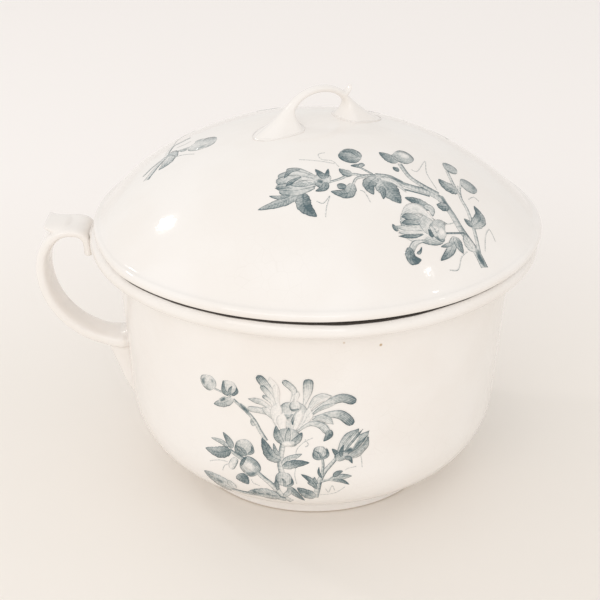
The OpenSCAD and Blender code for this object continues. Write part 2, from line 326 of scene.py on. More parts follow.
# %% [markdown]
# ## Turning on the wheel
# The body and the lid are round, so each is a template that is spun about the axis, as a potter's template
# is held against the turning clay. The template is drawn with a pen: a vertex that is extruded along a
# straight line, or spun through an arc. A modifier could do the spin, but the operator leaves a plain mesh
# whose vertices can still be pressed out of true afterwards.

# %% Template pen
WHEEL_STEPS = 240


def start_template(r, z):
    template = bmesh.new()
    return template, template.verts.new((r * mm, 0, z * mm))


def line_to(template, pen, *points):
    for r, z in points:
        pen = bmesh.ops.extrude_vert_indiv(template, verts=[pen])["verts"][0]
        pen.co = (r * mm, 0, z * mm)
    return pen


def arc_about(template, pen, r, z, turn, steps):
    spun = bmesh.ops.spin(template, geom=[pen], cent=(r * mm, 0, z * mm), axis=(0, -1, 0),
                          angle=math.radians(turn), steps=steps)
    return spun["geom_last"][0]


def turn_on_wheel(template):
    bmesh.ops.spin(template, geom=template.verts[:] + template.edges[:], cent=(0, 0, 0), axis=(0, 0, 1),
                   angle=2 * math.pi, steps=WHEEL_STEPS, use_merge=True)
    bmesh.ops.remove_doubles(template, verts=template.verts, dist=1e-6)
    bmesh.ops.recalc_face_normals(template, faces=template.faces)


def finish_piece(name, shape, material, body, slot, *nodes):
    mesh = bpy.data.meshes.new(name)
    shape.to_mesh(mesh)
    shape.free()
    for face in mesh.polygons:
        face.use_smooth = True
    mesh.materials.append(material)
    piece = add_object(name, mesh)
    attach(piece, body)
    if nodes:
        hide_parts(*nodes)
    print(name, len(mesh.polygons), "faces")
    return piece


def smooth_step(x, low, high):
    t = min(1.0, max(0.0, (x - low) / (high - low)))
    return t * t * (3 - 2 * t)


# %% [markdown]
# ## The pot
# The template goes from the middle of the base out to the foot ring, round the belly, up the wall, through
# the cove under the rim, over the roll of the rim and down the inside. Kiln heat pulls a rim a little out
# of true. Pot and lid were fired together, so their fronts sank together by about a millimetre. The rim
# sags a little more along the left of the front and dips to the right of the middle, which opens the dark
# slit under the lid. It still carries the lid at the back.

# %% Pot shell
BASE_Z, INSIDE_Z = 5, 13.3
RING_INNER, RING_OUTER, RING_ROUND = 58.7, 66.7, 1.2
BELLY_R, BELLY_Z, BELLY_ROUND = 58.3, 46.3, 38.5
WALL_FOOT = (96.73, 44.04)
WALL_RISE = (4.37, 73.96)
WALL_STEPS = 12
COVE_R, COVE_Z = 109.27, 117.52
RIM_R, RIM_Z, RIM_ROUND = 109, 130.7, 5.0
OUT_OF_ROUND, THREE_SIDED = 0.0009, 0.0004
FRONT_SINK = 1.3
SAG_TOWARDS, SAG = math.radians(-118), 0.5
DIP_TOWARDS, DIP_HALF, DIP = math.radians(-79), math.radians(20), 1.0

template, pen = start_template(0, BASE_Z)
pen = line_to(template, pen, (RING_INNER - RING_ROUND, BASE_Z))
pen = arc_about(template, pen, RING_INNER - RING_ROUND, BASE_Z - RING_ROUND, -90, 5)
pen = line_to(template, pen, (RING_INNER, RING_ROUND))
pen = arc_about(template, pen, RING_INNER + RING_ROUND, RING_ROUND, 90, 5)
pen = line_to(template, pen, (RING_OUTER - RING_ROUND, 0))
pen = arc_about(template, pen, RING_OUTER - RING_ROUND, RING_ROUND, 90, 5)
pen = line_to(template, pen, (RING_OUTER, 7.2), (67.2, 8.4), (68.4, 9.15))
pen = arc_about(template, pen, BELLY_R, BELLY_Z, 71.4, 32)
for step in range(1, WALL_STEPS + 1):
    share = step / WALL_STEPS
    wall_point = (WALL_FOOT[0] + WALL_RISE[0] * share, WALL_FOOT[1] + WALL_RISE[1] * share)
    pen = line_to(template, pen, wall_point)
pen = arc_about(template, pen, COVE_R, COVE_Z, -85.46, 14)
pen = arc_about(template, pen, RIM_R, RIM_Z, 237.5, 30)
pen = line_to(template, pen, (101.6, 128.2), (98.4, 123), (96.5, 119.4), (95.45, 116),
              (94.7, 104), (93.6, 85), (92.4, 64), (91.24, 44.36))
pen = arc_about(template, pen, BELLY_R, BELLY_Z, -86.63, 22)
line_to(template, pen, (30, INSIDE_Z), (0, INSIDE_Z))
turn_on_wheel(template)


def front_sink(around):
    return FRONT_SINK * max(0.0, -math.sin(around)) ** 2


def pot_out_of_true(x, y, z):
    around = math.atan2(y, x)
    squeeze = OUT_OF_ROUND * (1 - math.cos(2 * around)) + THREE_SIDED * (1 + math.cos(3 * around))
    press = 1 - squeeze * smooth_step(z, 15, 60)
    sag = SAG * (0.5 + 0.5 * math.cos(around - SAG_TOWARDS))
    sag += DIP * math.exp(-((around - DIP_TOWARDS) / DIP_HALF) ** 2)
    drop = sag * smooth_step(z, 124, 136) + front_sink(around) * smooth_step(z, 90, 128)
    return Vector((x * press, y * press, z - drop)) * mm


for vert in template.verts:
    vert.co = pot_out_of_true(*(vert.co / mm))
finish_piece("pot_shell", template, body_glaze, "pot", "glaze", "pot_body")

# %% [markdown]
# ## The lid
# The lid is a shallow dome with a rounded edge and, underneath, a flange that drops into the mouth of the
# pot and keeps the lid from sliding off. It is spun like the pot. A lid warps in the kiln too: the edge of
# this one drops a little at the front, and near the handle it is drawn in, so that the rim shows beside it.
# The bead along the edge is hardly more than a line, so its vertices are smoothed before the warp.

# %% Lid shell
DOME_Z, DOME_ROUND = 31.3, 156.7
DOME_EDGE = (111.45, 141.45)
BEAD_INNER, BEAD_OUTER, BEAD_LOW = 110.2, 112.9, 139.5
BEAD_STROKES = 12
EDGE_DROP = 0.6

template, pen = start_template(0, 183)
pen = arc_about(template, pen, 0, DOME_Z, -38.63, 24)
pen = line_to(template, pen, (94.7, 138), (94.7, 130))
pen = arc_about(template, pen, 96.7, 130, 180, 8)
pen = line_to(template, pen, (98.7, 139.5), (99.3, 140.6), (105, 136.6), (106.4, 136), (112.4, 136))
pen = arc_about(template, pen, 112.4, 138.6, 184, 18)
pen = line_to(template, pen, (111.9, 140.8), DOME_EDGE)
edge_turn = math.degrees(math.atan2(DOME_EDGE[1] - DOME_Z, DOME_EDGE[0]))
pen = arc_about(template, pen, 0, DOME_Z, 90 - edge_turn, 44)
pen.co.x = 0
turn_on_wheel(template)


def lid_out_of_true(x, y, z):
    around, radius = math.atan2(y, x), math.hypot(x, y)
    drop = EDGE_DROP * max(0.0, math.cos(around - DIP_TOWARDS)) ** 2 * smooth_step(radius, 90, 112)
    drop += front_sink(around) * smooth_step(radius, 60, 112)
    drop *= smooth_step(z, 132, 137)
    return Vector((x + DRAWN_IN * smooth_step(-x, DRAWN_FROM, DRAWN_TO), y, z - drop)) * mm


def in_bead(spot):
    return spot.z > BEAD_LOW * mm and BEAD_INNER * mm < math.hypot(spot.x, spot.y) < BEAD_OUTER * mm


bead = [vert for vert in template.verts if in_bead(vert.co)]
for stroke in range(BEAD_STROKES):
    bmesh.ops.smooth_vert(template, verts=bead, factor=0.5,
                          use_axis_x=True, use_axis_y=True, use_axis_z=True)
for vert in template.verts:
    vert.co = lid_out_of_true(*(vert.co / mm))
finish_piece("lid_shell", template, lid_glaze, "lid", "glaze", "lid")

# %% [markdown]
# ## Drawing out a ring
# Handles are pressed from a coil of clay, so they are drawn out of one ring: a circle is made, its edges
# are extruded step by step, and each vertex keeps a mark of its turn round the ring, which tells it where
# it belongs at that step. Pieces of one handle are made as closed shapes that overlap, then fused by a
# voxel remesh and smoothed, which gives the soft joins that clay has when a thumb has gone over it.

# %% Ring tool
def new_clay():
    clay = bmesh.new()
    clay.verts.layers.float.new("turn")
    return clay


def draw_out(clay, steps, where, sides=36):
    mark = clay.verts.layers.float["turn"]
    ring = bmesh.ops.create_circle(clay, cap_ends=True, segments=sides, radius=1)["verts"]
    for vert in ring:
        vert[mark] = math.atan2(vert.co.y, vert.co.x)
    edges = list({edge for vert in ring for edge in vert.link_edges})
    for step in range(steps + 1):
        if step:
            drawn = bmesh.ops.extrude_edge_only(clay, edges=edges)["geom"]
            ring = [g for g in drawn if isinstance(g, bmesh.types.BMVert)]
            fresh = set(ring)
            edges = [g for g in drawn if isinstance(g, bmesh.types.BMEdge) and fresh.issuperset(g.verts)]
        for vert in ring:
            vert.co = Vector(where(step / steps, vert[mark])) * mm
    bmesh.ops.contextual_create(clay, geom=edges)


def fuse(clay, voxel, rounds):
    bmesh.ops.recalc_face_normals(clay, faces=clay.faces)
    mesh = bpy.data.meshes.new("raw_clay")
    clay.to_mesh(mesh)
    clay.free()
    raw = add_object("raw_clay", mesh)
    remesh = raw.modifiers.new("fuse", "REMESH")
    remesh.mode = "VOXEL"
    remesh.voxel_size = voxel * mm
    smooth = raw.modifiers.new("thumb", "SMOOTH")
    smooth.factor = 0.5
    smooth.iterations = rounds
    worked = raw.evaluated_get(bpy.context.evaluated_depsgraph_get())
    fused = bmesh.new()
    fused.from_mesh(bpy.data.meshes.new_from_object(worked))
    bpy.data.objects.remove(raw)
    return fused


def power(x, p):
    return math.copysign(abs(x) ** p, x)


def rounded(turn, square):
    return power(math.cos(turn), 2 / square), power(math.sin(turn), 2 / square)


# %% [markdown]
# ## The pot's handle
# The strap leaves the wall at a swollen root, swings out and up, grows wider, turns over the top as a broad
# band and hooks down against the rim. A curled spur stands up on its shoulder, and a leaf-shaped tail runs
# down the wall below the root. The middle line is made of three oval arcs: to the elbow, over the crown and
# down the hook. The outside is hollowed a little along its length, as the press mould left it.

# %% Strap of the pot handle
ROOT = (100.15, 68.0)
ELBOW = 109.0
REACH = 140.9
TOP = 131.9
HOOK_X, HOOK_Z, HOOK_ROUND, HOOK_DROP = 124.7, 122.4, 9.5, 2.5
AT_ELBOW, AT_CROWN, AT_HOOK = 0.46, 0.78, 0.96
STRAP_WIDTH, STRAP_SPREAD, STRAP_THICK = 18, 6.5, 5.8
HOLLOW = 1.1
PLUG_R, PLUG_DEPTH, PLUG_HALF, PLUG_RISE = 97.9, 4, 9.8, 3.7
SPUR_X, SPUR_LENGTH, SPUR_HALF, SPUR_Z = 122.5, 14.8, 11.8, 133.3


def strap_point(share):
    if share < AT_ELBOW:
        a = math.radians(-90 + 90 * share / AT_ELBOW)
        return ROOT[0] + (REACH - ROOT[0]) * math.cos(a), ELBOW + (ELBOW - ROOT[1]) * math.sin(a)
    if share < AT_CROWN:
        a = math.radians(90 * (share - AT_ELBOW) / (AT_CROWN - AT_ELBOW))
        return HOOK_X + (REACH - HOOK_X) * math.cos(a), ELBOW + (TOP - ELBOW) * math.sin(a)
    a = math.radians(90 + 90 * min(1.0, (share - AT_CROWN) / (AT_HOOK - AT_CROWN)))
    c, s = rounded(a, 3)
    drop = HOOK_DROP * max(0.0, (share - AT_HOOK) / (1 - AT_HOOK))
    return HOOK_X + HOOK_ROUND * c, HOOK_Z + HOOK_ROUND * s - drop


def across(share, gap=0.004):
    x0, z0 = strap_point(max(0.0, share - gap))
    x1, z1 = strap_point(min(1.0, share + gap))
    length = math.hypot(x1 - x0, z1 - z0)
    return (z1 - z0) / length, -(x1 - x0) / length


def strap_ring(share, turn):
    x, z = strap_point(share)
    nx, nz = across(share)
    root = 1 - smooth_step(share, 0, 0.09)
    width = STRAP_WIDTH + STRAP_SPREAD * math.sin(math.pi / 2 * min(1.0, share / 0.72)) ** 3 + 3 * root
    thick = STRAP_THICK + 1.3 * (1 - smooth_step(share, 0.6, 0.8)) + 1.2 * root
    cx, cy = rounded(turn, 3)
    s = cy * thick / 2 - HOLLOW * smooth_step(share, 0.08, 0.3) * (1 - cx ** 2) * max(0.0, cy)
    return -(x + s * nx), cx * width / 2, z + s * nz


def root_plug(share, turn):
    cx, cy = rounded(turn, 3)
    return -(PLUG_R + PLUG_DEPTH * share), cx * PLUG_HALF, ROOT[1] - cy * PLUG_RISE


def spur_ring(share, turn):
    cx, cy = rounded(turn, 2.6)
    thick = 4 - 2 * share + 10.4 * share * (1 - share)
    top = SPUR_Z + 1.5 * smooth_step(share, 0, 0.35) + 1.2 * share ** 2
    half = SPUR_HALF - 1.6 * share
    return -(SPUR_X + SPUR_LENGTH * share), cx * half, top + (cy - 1) * thick / 2


# %% [markdown]
# The tail hugs the wall, so its rings start from the radius of the wall at each height. It is thick just
# below the root and thins out to its tip.

# %% Tail of the pot handle
TAIL_TOP, TAIL_LENGTH, TAIL_HALF, TAIL_THICK = 73.8, 50, 8.5, 12.4


def wall_at(z):
    if z < WALL_FOOT[1]:
        return BELLY_R + math.sqrt(BELLY_ROUND ** 2 - (BELLY_Z - z) ** 2)
    return WALL_FOOT[0] + (z - WALL_FOOT[1]) * WALL_RISE[0] / WALL_RISE[1]


def tail_size(share):
    half = TAIL_HALF * min(1.0, 0.6 + share / 0.28) * (1 - share) ** 0.7 + 0.5
    crest = math.sin(math.pi / 2 * share / 0.14) if share < 0.14 else (1 - share) / 0.86
    return TAIL_TOP - TAIL_LENGTH * share, half, TAIL_THICK * crest + 0.6


def tail_ring(share, turn):
    z, half, rise = tail_size(share)
    r = wall_at(z) + 0.1 + rise * max(0.0, math.sin(turn)) ** 0.6
    y = half * math.cos(turn)
    return -math.sqrt(r * r - y * y), -y, z


# %% [markdown]
# The strap, its root, the spur and the tail are fused. A crease is then pressed in below the root.

# %% Pot handle
CREASE_Z, CREASE_HALF, CREASE = 63.4, 0.7, 0.55

clay = new_clay()
draw_out(clay, 90, strap_ring)
draw_out(clay, 4, root_plug)
draw_out(clay, 14, spur_ring)
draw_out(clay, 32, tail_ring)
clay = fuse(clay, 0.5, 7)
for vert in clay.verts:
    reach, z = -vert.co.x / mm, vert.co.z / mm
    if reach < 113:
        near_line = math.exp(-((z - CREASE_Z) / CREASE_HALF) ** 2)
        vert.co.x += CREASE * mm * near_line * smooth_step(reach, 99.5, 101.5)
finish_piece("pot_handle_clay", clay, ware_glaze, "pot", "glaze", "pot_handle")

# %% [markdown]
# ## The lid's handle
# A slender arch stands across the top of the dome. Each leg sweeps out into a leaf-shaped foot, hollow on
# its sloping side and ribbed like a fan, and the back leg carries a small curled lip. Each ring of a foot
# is centred on the leg at its own height, so that the leg grows out of the foot without a step. The handle
# is drawn out and fused like the pot's, with a finer voxel because the arch is so thin.

# %% Lid handle
ARCH_TURN = math.radians(32)
ARCH_U, ARCH_Z, ARCH_HALF, ARCH_RISE = 2.5, 191.33, 17.5, 12.4
ARCH_WIDTH, ARCH_FLARE, ARCH_THICK = 5.0, 1.8, 3.5
LIP_AT, LIP_ROUND, LIP_HALF, LIP_THICK = math.radians(38), 5, 3.2, 3.4
LEG_HALF = (1.6, 2.6)
FOOT_TOE, FOOT_HEEL, FOOT_HALF = 19.0, 6.2, 10.4
FOOT_SUNK, FOOT_RISE, FOOT_RIB = -0.1, 13.8, 0.05


def dome_at(u, v, off):
    return DOME_Z + math.sqrt((DOME_ROUND + off) ** 2 - u * u - v * v)


def turned(u, v, z):
    c, s = math.cos(ARCH_TURN), math.sin(ARCH_TURN)
    return u * c - v * s, u * s + v * c, z


def arch_point(a):
    return ARCH_U + ARCH_HALF * math.cos(a), ARCH_Z + ARCH_RISE * math.sin(a)


def arch_ring(share, turn):
    a = math.radians(10 + 160 * share)
    u, z = arch_point(a)
    nu, nz = math.cos(a) * ARCH_RISE, math.sin(a) * ARCH_HALF
    length = math.hypot(nu, nz)
    width = ARCH_WIDTH + ARCH_FLARE * (2 * share - 1) ** 2
    s = ARCH_THICK / 2 * math.sin(turn)
    return turned(u + s * nu / length, width / 2 * math.cos(turn), z + s * nz / length)


def small_lip_ring(share, turn):
    a = math.radians(-90 + 82 * share)
    base_u, base_z = arch_point(LIP_AT)
    u, z = base_u + LIP_ROUND * math.cos(a), base_z + LIP_ROUND + LIP_ROUND * math.sin(a)
    s = LIP_THICK / 2 * (1 - 0.7 * share) * math.sin(turn)
    v = LIP_HALF * (1 - 0.5 * share) * math.cos(turn)
    return turned(u + s * math.cos(a), v, z + s * math.sin(a))


def foot_ring(side):
    def where(share, turn):
        spread = (1 - share) ** 2.2
        c, s = math.cos(turn), math.sin(turn)
        rib = 1 + FOOT_RIB * math.cos(7 * turn) * spread * smooth_step(c, -0.2, 0.5)
        p = ((FOOT_TOE if c > 0 else FOOT_HEEL) * spread * rib + LEG_HALF[0] * (1 - spread)) * c
        q = (FOOT_HALF * spread * rib + LEG_HALF[1] * (1 - spread)) * s
        rise = FOOT_RISE * share
        leg_height = (dome_at(20, 0, FOOT_SUNK) + rise - ARCH_Z) / ARCH_RISE
        lean = math.asin(max(0.0, min(1.0, leg_height)))
        u, v = ARCH_U + side * (ARCH_HALF * math.cos(lean) + p), side * q
        return turned(u, v, dome_at(u, v, FOOT_SUNK + rise))
    return where


clay = new_clay()
draw_out(clay, 60, arch_ring, 24)
draw_out(clay, 12, small_lip_ring, 24)
draw_out(clay, 30, foot_ring(-1), 60)
draw_out(clay, 30, foot_ring(1), 60)
clay = fuse(clay, 0.36, 5)
finish_piece("lid_handle_clay", clay, ware_glaze, "lid", "glaze", "lid_handle")

# %% [markdown]
# ## The beds of slip
# Slip is clay thinned with water, and it is the potter's glue. It squeezes out as a thin rim round each
# foot and each root, and the glaze runs over it. Each bed is a grid that is laid on the pot or the lid by
# its own rule and then given its thickness.

# %% Slip beds
SLIP_THICK = 0.7
SLIP_TOP = 0.45
SLIP_SQUEEZED = 0.4


def slip_bed(name, lay, body, node):
    bed = bmesh.new()
    bmesh.ops.create_grid(bed, x_segments=20, y_segments=40, size=1)
    for vert in bed.verts:
        vert.co = Vector(lay(vert.co.x, vert.co.y)) * mm
    bmesh.ops.remove_doubles(bed, verts=bed.verts, dist=1e-6)
    bmesh.ops.recalc_face_normals(bed, faces=bed.faces)
    bmesh.ops.solidify(bed, geom=bed.faces, thickness=SLIP_THICK * mm)
    bmesh.ops.recalc_face_normals(bed, faces=bed.faces)
    finish_piece(name, bed, ware_glaze, body, "slip", node)


def lower_bed(x, y):
    z, half, _ = tail_size(0.02 + 0.94 * (y + 1) / 2)
    r = wall_at(z) + SLIP_TOP
    across_wall = x * (half + SLIP_SQUEEZED)
    return -math.sqrt(r * r - across_wall ** 2), across_wall, z


def upper_bed(x, y):
    turn = math.radians(40 * y)
    r = RIM_R + (RIM_ROUND + SLIP_TOP) * math.cos(turn)
    z = RIM_Z + (RIM_ROUND + SLIP_TOP) * math.sin(turn)
    half = 9.6 * (1 - y ** 4) + 0.5
    return -math.sqrt(r * r - (x * half) ** 2), x * half, z


def foot_bed(side):
    def lay(x, y):
        reach = math.hypot(x, y)
        grow = max(abs(x), abs(y)) / reach if reach else 0
        p = ((FOOT_TOE if x > 0 else FOOT_HEEL) + SLIP_SQUEEZED) * x * grow
        q = (FOOT_HALF + SLIP_SQUEEZED) * y * grow
        u, v = ARCH_U + side * (ARCH_HALF + p), side * q
        return turned(u, v, dome_at(u, v, SLIP_TOP))
    return lay


slip_bed("lower_slip_bed", lower_bed, "pot", "handle_lower_slip")
slip_bed("upper_slip_bed", upper_bed, "pot", "handle_upper_slip")
slip_bed("front_foot_slip_bed", foot_bed(-1), "lid", "lid_handle_front_slip")
slip_bed("back_foot_slip_bed", foot_bed(1), "lid", "lid_handle_back_slip")

# %% [markdown]
# ## The ink
# The flowers are a transfer print: an engraving on tissue, rubbed on before the glaze. Ink lies thickest in
# the engraved lines, so each finish adds lines to a soft tone: an outline and veins on a leaf, long strokes
# on a petal, a dark side on a stem. A wash has no outline, and only deepens or lightens the tone. All of
# them mix the glaze's own colour with one slate ink, which is greener where it is thin, so where there is
# no ink the print can't be told from the pot. The lines follow numbers that each patch carries: its
# distance from the edge, its place across and along, and its tone.

# %% Ink finishes
SLATE_INK = (0.046, 0.096, 0.116, 1)
THIN_INK = (0.020, 0.150, 0.170, 1)
FULL_INK = 0.95
INK_GRAIN = 0.10


def carried(tree, name):
    return add_node(tree, "ShaderNodeAttribute", attribute_name=name).outputs["Fac"]


def strokes(tree, value, pitch, low, high):
    wave = sums(tree, "SINE", times(tree, value, 2 * math.pi / pitch), 0.0)
    return remap(tree, wave, low, high)


def ink_material(name, build):
    material, tree, shader = new_material(name)
    glaze = place_glaze(tree)
    grain = remap(tree, noise(tree, 900, 3), 0.3, 0.7, -INK_GRAIN, INK_GRAIN)
    pooled = remap(tree, noise(tree, 190), 0.3, 0.7, 0.82, 1.12)
    laid = times(tree, plus(tree, build(tree), grain), pooled)
    even = sums(tree, "MINIMUM", sums(tree, "MAXIMUM", laid, 0.0), FULL_INK)
    bitten = remap(tree, laid, 0.0, 0.91, 0.0, 0.97)
    share = times(tree, plus(tree, even, bitten), 0.5)
    ink = tint(tree, share, THIN_INK, SLATE_INK)
    tree.links.new(tint(tree, share, glaze.outputs["Color"], ink), shader.inputs["Base Color"])
    tree.links.new(glaze.outputs["Roughness"], shader.inputs["Roughness"])
    ripple_normal(tree, shader, glaze.outputs["Height"])
    return material


def leaf_lines(tree):
    from_middle = sums(tree, "ABSOLUTE", carried(tree, "across"), 0.0)
    outline = remap(tree, carried(tree, "edge"), 0.12, 0.55, 0.26, 0.0)
    rib = remap(tree, from_middle, 0.03, 0.16, 0.16, 0.0)
    slant = sums(tree, "SUBTRACT", carried(tree, "along"), times(tree, from_middle, 1.5))
    veins = times(tree, strokes(tree, slant, 1.15, 0.1, 0.9), 0.12)
    return plus(tree, carried(tree, "tone"), veins, sums(tree, "MAXIMUM", outline, rib))


def petal_lines(tree):
    tone = carried(tree, "tone")
    outline = remap(tree, carried(tree, "edge"), 0.10, 0.50, 1.0, 0.0)
    outline = times(tree, outline, plus(tree, times(tree, tone, 0.32), 0.11))
    hatch = strokes(tree, carried(tree, "side"), 0.85, 0.0, 0.95)
    hatch = times(tree, hatch, plus(tree, times(tree, tone, 0.3), 0.05))
    return plus(tree, tone, hatch, outline)


def stem_lines(tree):
    outline = remap(tree, carried(tree, "edge"), 0.08, 0.35, 0.22, 0.0)
    shade = remap(tree, carried(tree, "across"), -0.2, 0.9, -0.16, 0.22)
    bark = times(tree, strokes(tree, carried(tree, "along"), 1.7, 0.5, 1.0), 0.12)
    return plus(tree, carried(tree, "tone"), shade, outline, bark)


def wash_tone(tree):
    tone = carried(tree, "tone")
    hatch = times(tree, strokes(tree, carried(tree, "side"), 0.7, 0.0, 1.0), tone)
    return plus(tree, tone, times(tree, hatch, 0.2))


INKS = [ink_material("leaf_ink", leaf_lines), ink_material("petal_ink", petal_lines),
        ink_material("stem_ink", stem_lines), ink_material("wash_ink", wash_tone)]
LEAF_INK, PETAL_INK, STEM_INK, WASH_INK = range(len(INKS))
print("inks:", [ink.name for ink in INKS])

# %% [markdown]
# ## The transfer
# Each leaf, petal, bud and stem is a small grid. Its own rule bends it along a line of points and gives it
# its outline, and the sheet's rule lays it on the wall or on the dome. A later patch lies a hair above an
# earlier one, as in a drawing where the near petal is drawn last, and every patch is a film a few
# hundredths of a millimetre thick. An image texture would be simpler, but a film keeps its edge at any
# size. Places on the body are in millimetres round the wall and up it from the top of the belly, and places
# on the lid are in millimetres as seen from above. Low on the belly the sheet is stretched a little.

# %% Transfer sheet
PRINT_R = 97
BELLY_TOP = math.radians(-3.37)
WALL_SLOPE = (0.0588, 0.9983)
LOW_STRETCH, STRETCH_BELOW = 0.02, -8


def on_body(round_by):
    def lay(a, up, off):
        up -= LOW_STRETCH * max(0.0, STRETCH_BELOW - up) ** 2
        turn = BELLY_TOP + min(0.0, up) / BELLY_ROUND
        r = BELLY_R + (BELLY_ROUND + off) * math.cos(turn) + WALL_SLOPE[0] * max(0.0, up)
        z = BELLY_Z + (BELLY_ROUND + off) * math.sin(turn) + WALL_SLOPE[1] * max(0.0, up)
        around = a / PRINT_R + math.radians(round_by)
        return pot_out_of_true(r * math.sin(around), -r * math.cos(around), z)
    return lay


def on_lid(round_by):
    c, s = math.cos(math.radians(round_by)), math.sin(math.radians(round_by))

    def lay(x, y, off):
        return lid_out_of_true(c * x - s * y, s * x + c * y, dome_at(x, y, off))
    return lay


def new_sheet(lay):
    sheet = {"shape": bmesh.new(), "lay": lay, "marks": []}
    for name in ("edge", "across", "along", "side", "tone"):
        sheet["shape"].verts.layers.float.new(name)
    return sheet


# %% [markdown]
# A patch starts as a flat grid with a front and a back. Each vertex knows its place across and along the
# patch, so it can be moved to its place on the sheet, and it keeps the numbers that the inks read. The
# line of points is rounded by a spline.

# %% Patch
FILM, FILM_LIFT, FILM_STEP = 0.06, 0.05, 0.0015
FILM_COLUMNS = 4


def along_line(points, share):
    spans = len(points) - 1
    i = min(int(share * spans), spans - 1)
    t = share * spans - i
    a, b, c, d = (Vector(points[max(0, min(spans, k))]) for k in (i - 1, i, i + 1, i + 2))
    bend = (2 * a - 5 * b + 4 * c - d) * t ** 2 + (3 * b - a - 3 * c + d) * t ** 3
    return 0.5 * (2 * b + (c - a) * t + bend)


def patch(sheet, ink, points, half_width, tone, rows):
    shape = sheet["shape"]
    layer = shape.verts.layers.float
    sheet["marks"].append((ink, points, half_width, tone, rows))
    lift = FILM_LIFT + FILM_STEP * len(sheet["marks"])
    length = sum((Vector(b) - Vector(a)).length for a, b in zip(points, points[1:]))
    grid = bmesh.ops.create_grid(shape, x_segments=FILM_COLUMNS, y_segments=rows, size=1)["verts"]
    faces = list({face for vert in grid for face in vert.link_faces})
    drawn = bmesh.ops.extrude_face_region(shape, geom=faces)["geom"]
    back = [part for part in drawn if isinstance(part, bmesh.types.BMVert)]
    bmesh.ops.translate(shape, verts=back, vec=(0, 0, -FILM))
    film = grid + back
    for vert in film:
        u, share = vert.co.x, (vert.co.y + 1) / 2
        ahead = along_line(points, min(1.0, share + 0.02)) - along_line(points, max(0.0, share - 0.02))
        side = Vector((ahead.y, -ahead.x)).normalized()
        half = half_width(share)
        at = along_line(points, share) + side * u * half
        vert[layer["edge"]] = half * (1 - abs(u))
        vert[layer["across"]], vert[layer["side"]], vert[layer["along"]] = u, u * half, share * length
        vert[layer["tone"]] = tone(u, share)
        vert.co = sheet["lay"](at.x, at.y, lift + vert.co.z)
    for face in {face for vert in film for face in vert.link_faces}:
        face.material_index = ink


# %% [markdown]
# A few motifs make up the whole print. Each is an outline and a tone for a patch: a leaf, which has teeth
# if it is wide, a petal with a round tip, a blade with a sharp one, a bud, a wash and a stem. A tendril is
# a stem as thin as a hair.

# %% Motifs
TIP = 0.02
TENDRIL_WIDTH, TENDRIL_TONE = 0.44, 0.16


def leaf(sheet, points, width, ink, tip_ink):
    def half(share):
        tooth = 1 + 0.16 * ((share * max(3, width) + 0.5) % 1) if width > 4 else 1
        return width / 2 * math.sin(math.pi * share ** 0.75) ** 0.9 * tooth + TIP
    patch(sheet, LEAF_INK, points, half, lambda u, v: ink + (tip_ink - ink) * v - 0.10 * u, 26)


def petal(sheet, points, width, ink, tip_ink):
    def half(share):
        round_tip = math.sqrt(1 - max(0.0, (share - 0.8) / 0.2) ** 2)
        return width / 2 * (0.3 + 0.7 * smooth_step(share, 0, 0.7)) * round_tip + TIP
    patch(sheet, PETAL_INK, points, half, lambda u, v: ink + (tip_ink - ink) * v ** 3 + 0.10 * u * u, 22)


def blade(sheet, points, width, ink, tip_ink):
    def half(share):
        sharp_tip = 1 - smooth_step(share, 0.66, 1.02)
        return width / 2 * (0.34 + 0.66 * smooth_step(share, 0, 0.6)) * sharp_tip + TIP
    patch(sheet, PETAL_INK, points, half, lambda u, v: ink + (tip_ink - ink) * v ** 2.5 - 0.08 * u, 22)


def oval(width):
    return lambda share: width / 2 * math.sqrt(max(0.0, 1 - (2 * share - 1) ** 2)) + TIP


def bud(sheet, points, width, ink, tip_ink):
    def shade(u, v):
        return ink + (tip_ink - ink) * v + 0.22 * (u - 0.25) ** 2 - 0.05
    patch(sheet, PETAL_INK, points, oval(width), shade, 18)


def wash(sheet, points, width, ink, under):
    def fade(u, v):
        end = (2 * v - 1) ** 2
        return under + (ink - under) * smooth_step(1 - math.sqrt(end + u * u * (1 - end)), 0, 0.75)
    patch(sheet, WASH_INK, points, oval(width * 1.25), fade, 14)


def stem(sheet, points, wide, narrow, ink):
    def half(share):
        return (wide + (narrow - wide) * share) / 2
    patch(sheet, STEM_INK, points, half, lambda u, v: ink, 9 * (len(points) - 1))


def tendrils(sheet, *lines):
    for points in lines:
        stem(sheet, points, TENDRIL_WIDTH, TENDRIL_WIDTH, TENDRIL_TONE)


# %% [markdown]
# A finished sheet becomes one piece with all four inks. A sheet keeps a list of its marks, so it can be
# pulled again for another place.

# %% Laying a print
def lay_print(name, sheet, body):
    shape = sheet["shape"]
    bmesh.ops.recalc_face_normals(shape, faces=shape.faces)
    piece = finish_piece(name, shape, INKS[0], body, "print")
    for ink in INKS[1:]:
        piece.data.materials.append(ink)
    print(name, "has", len(sheet["marks"]), "patches")


def pull_again(sheet, lay):
    again = new_sheet(lay)
    for mark in sheet["marks"]:
        patch(again, *mark)
    return again


# %% [markdown]
# ## The spray on the body
# The spray on the front of the pot grows from two stems at the foot of the wall: a wide-open bloom with
# strap petals, buds on a twig to its upper left, a cluster of round buds and leaves on the left, and a
# tulip-like flower on a branch to the right. What lies behind is drawn first. A leaf, petal or bud is given
# by the line along its middle, its width, and its tone at the root and at the tip. A stem has two widths
# and one tone, and a wash has the tone in its middle and the one round it.
#
# Most points and widths of the print, here and on the lid, weren't chosen in millimetres. They were picked
# by eye on the photograph, and a separate program turned them into millimetres on the surface with the
# camera above.

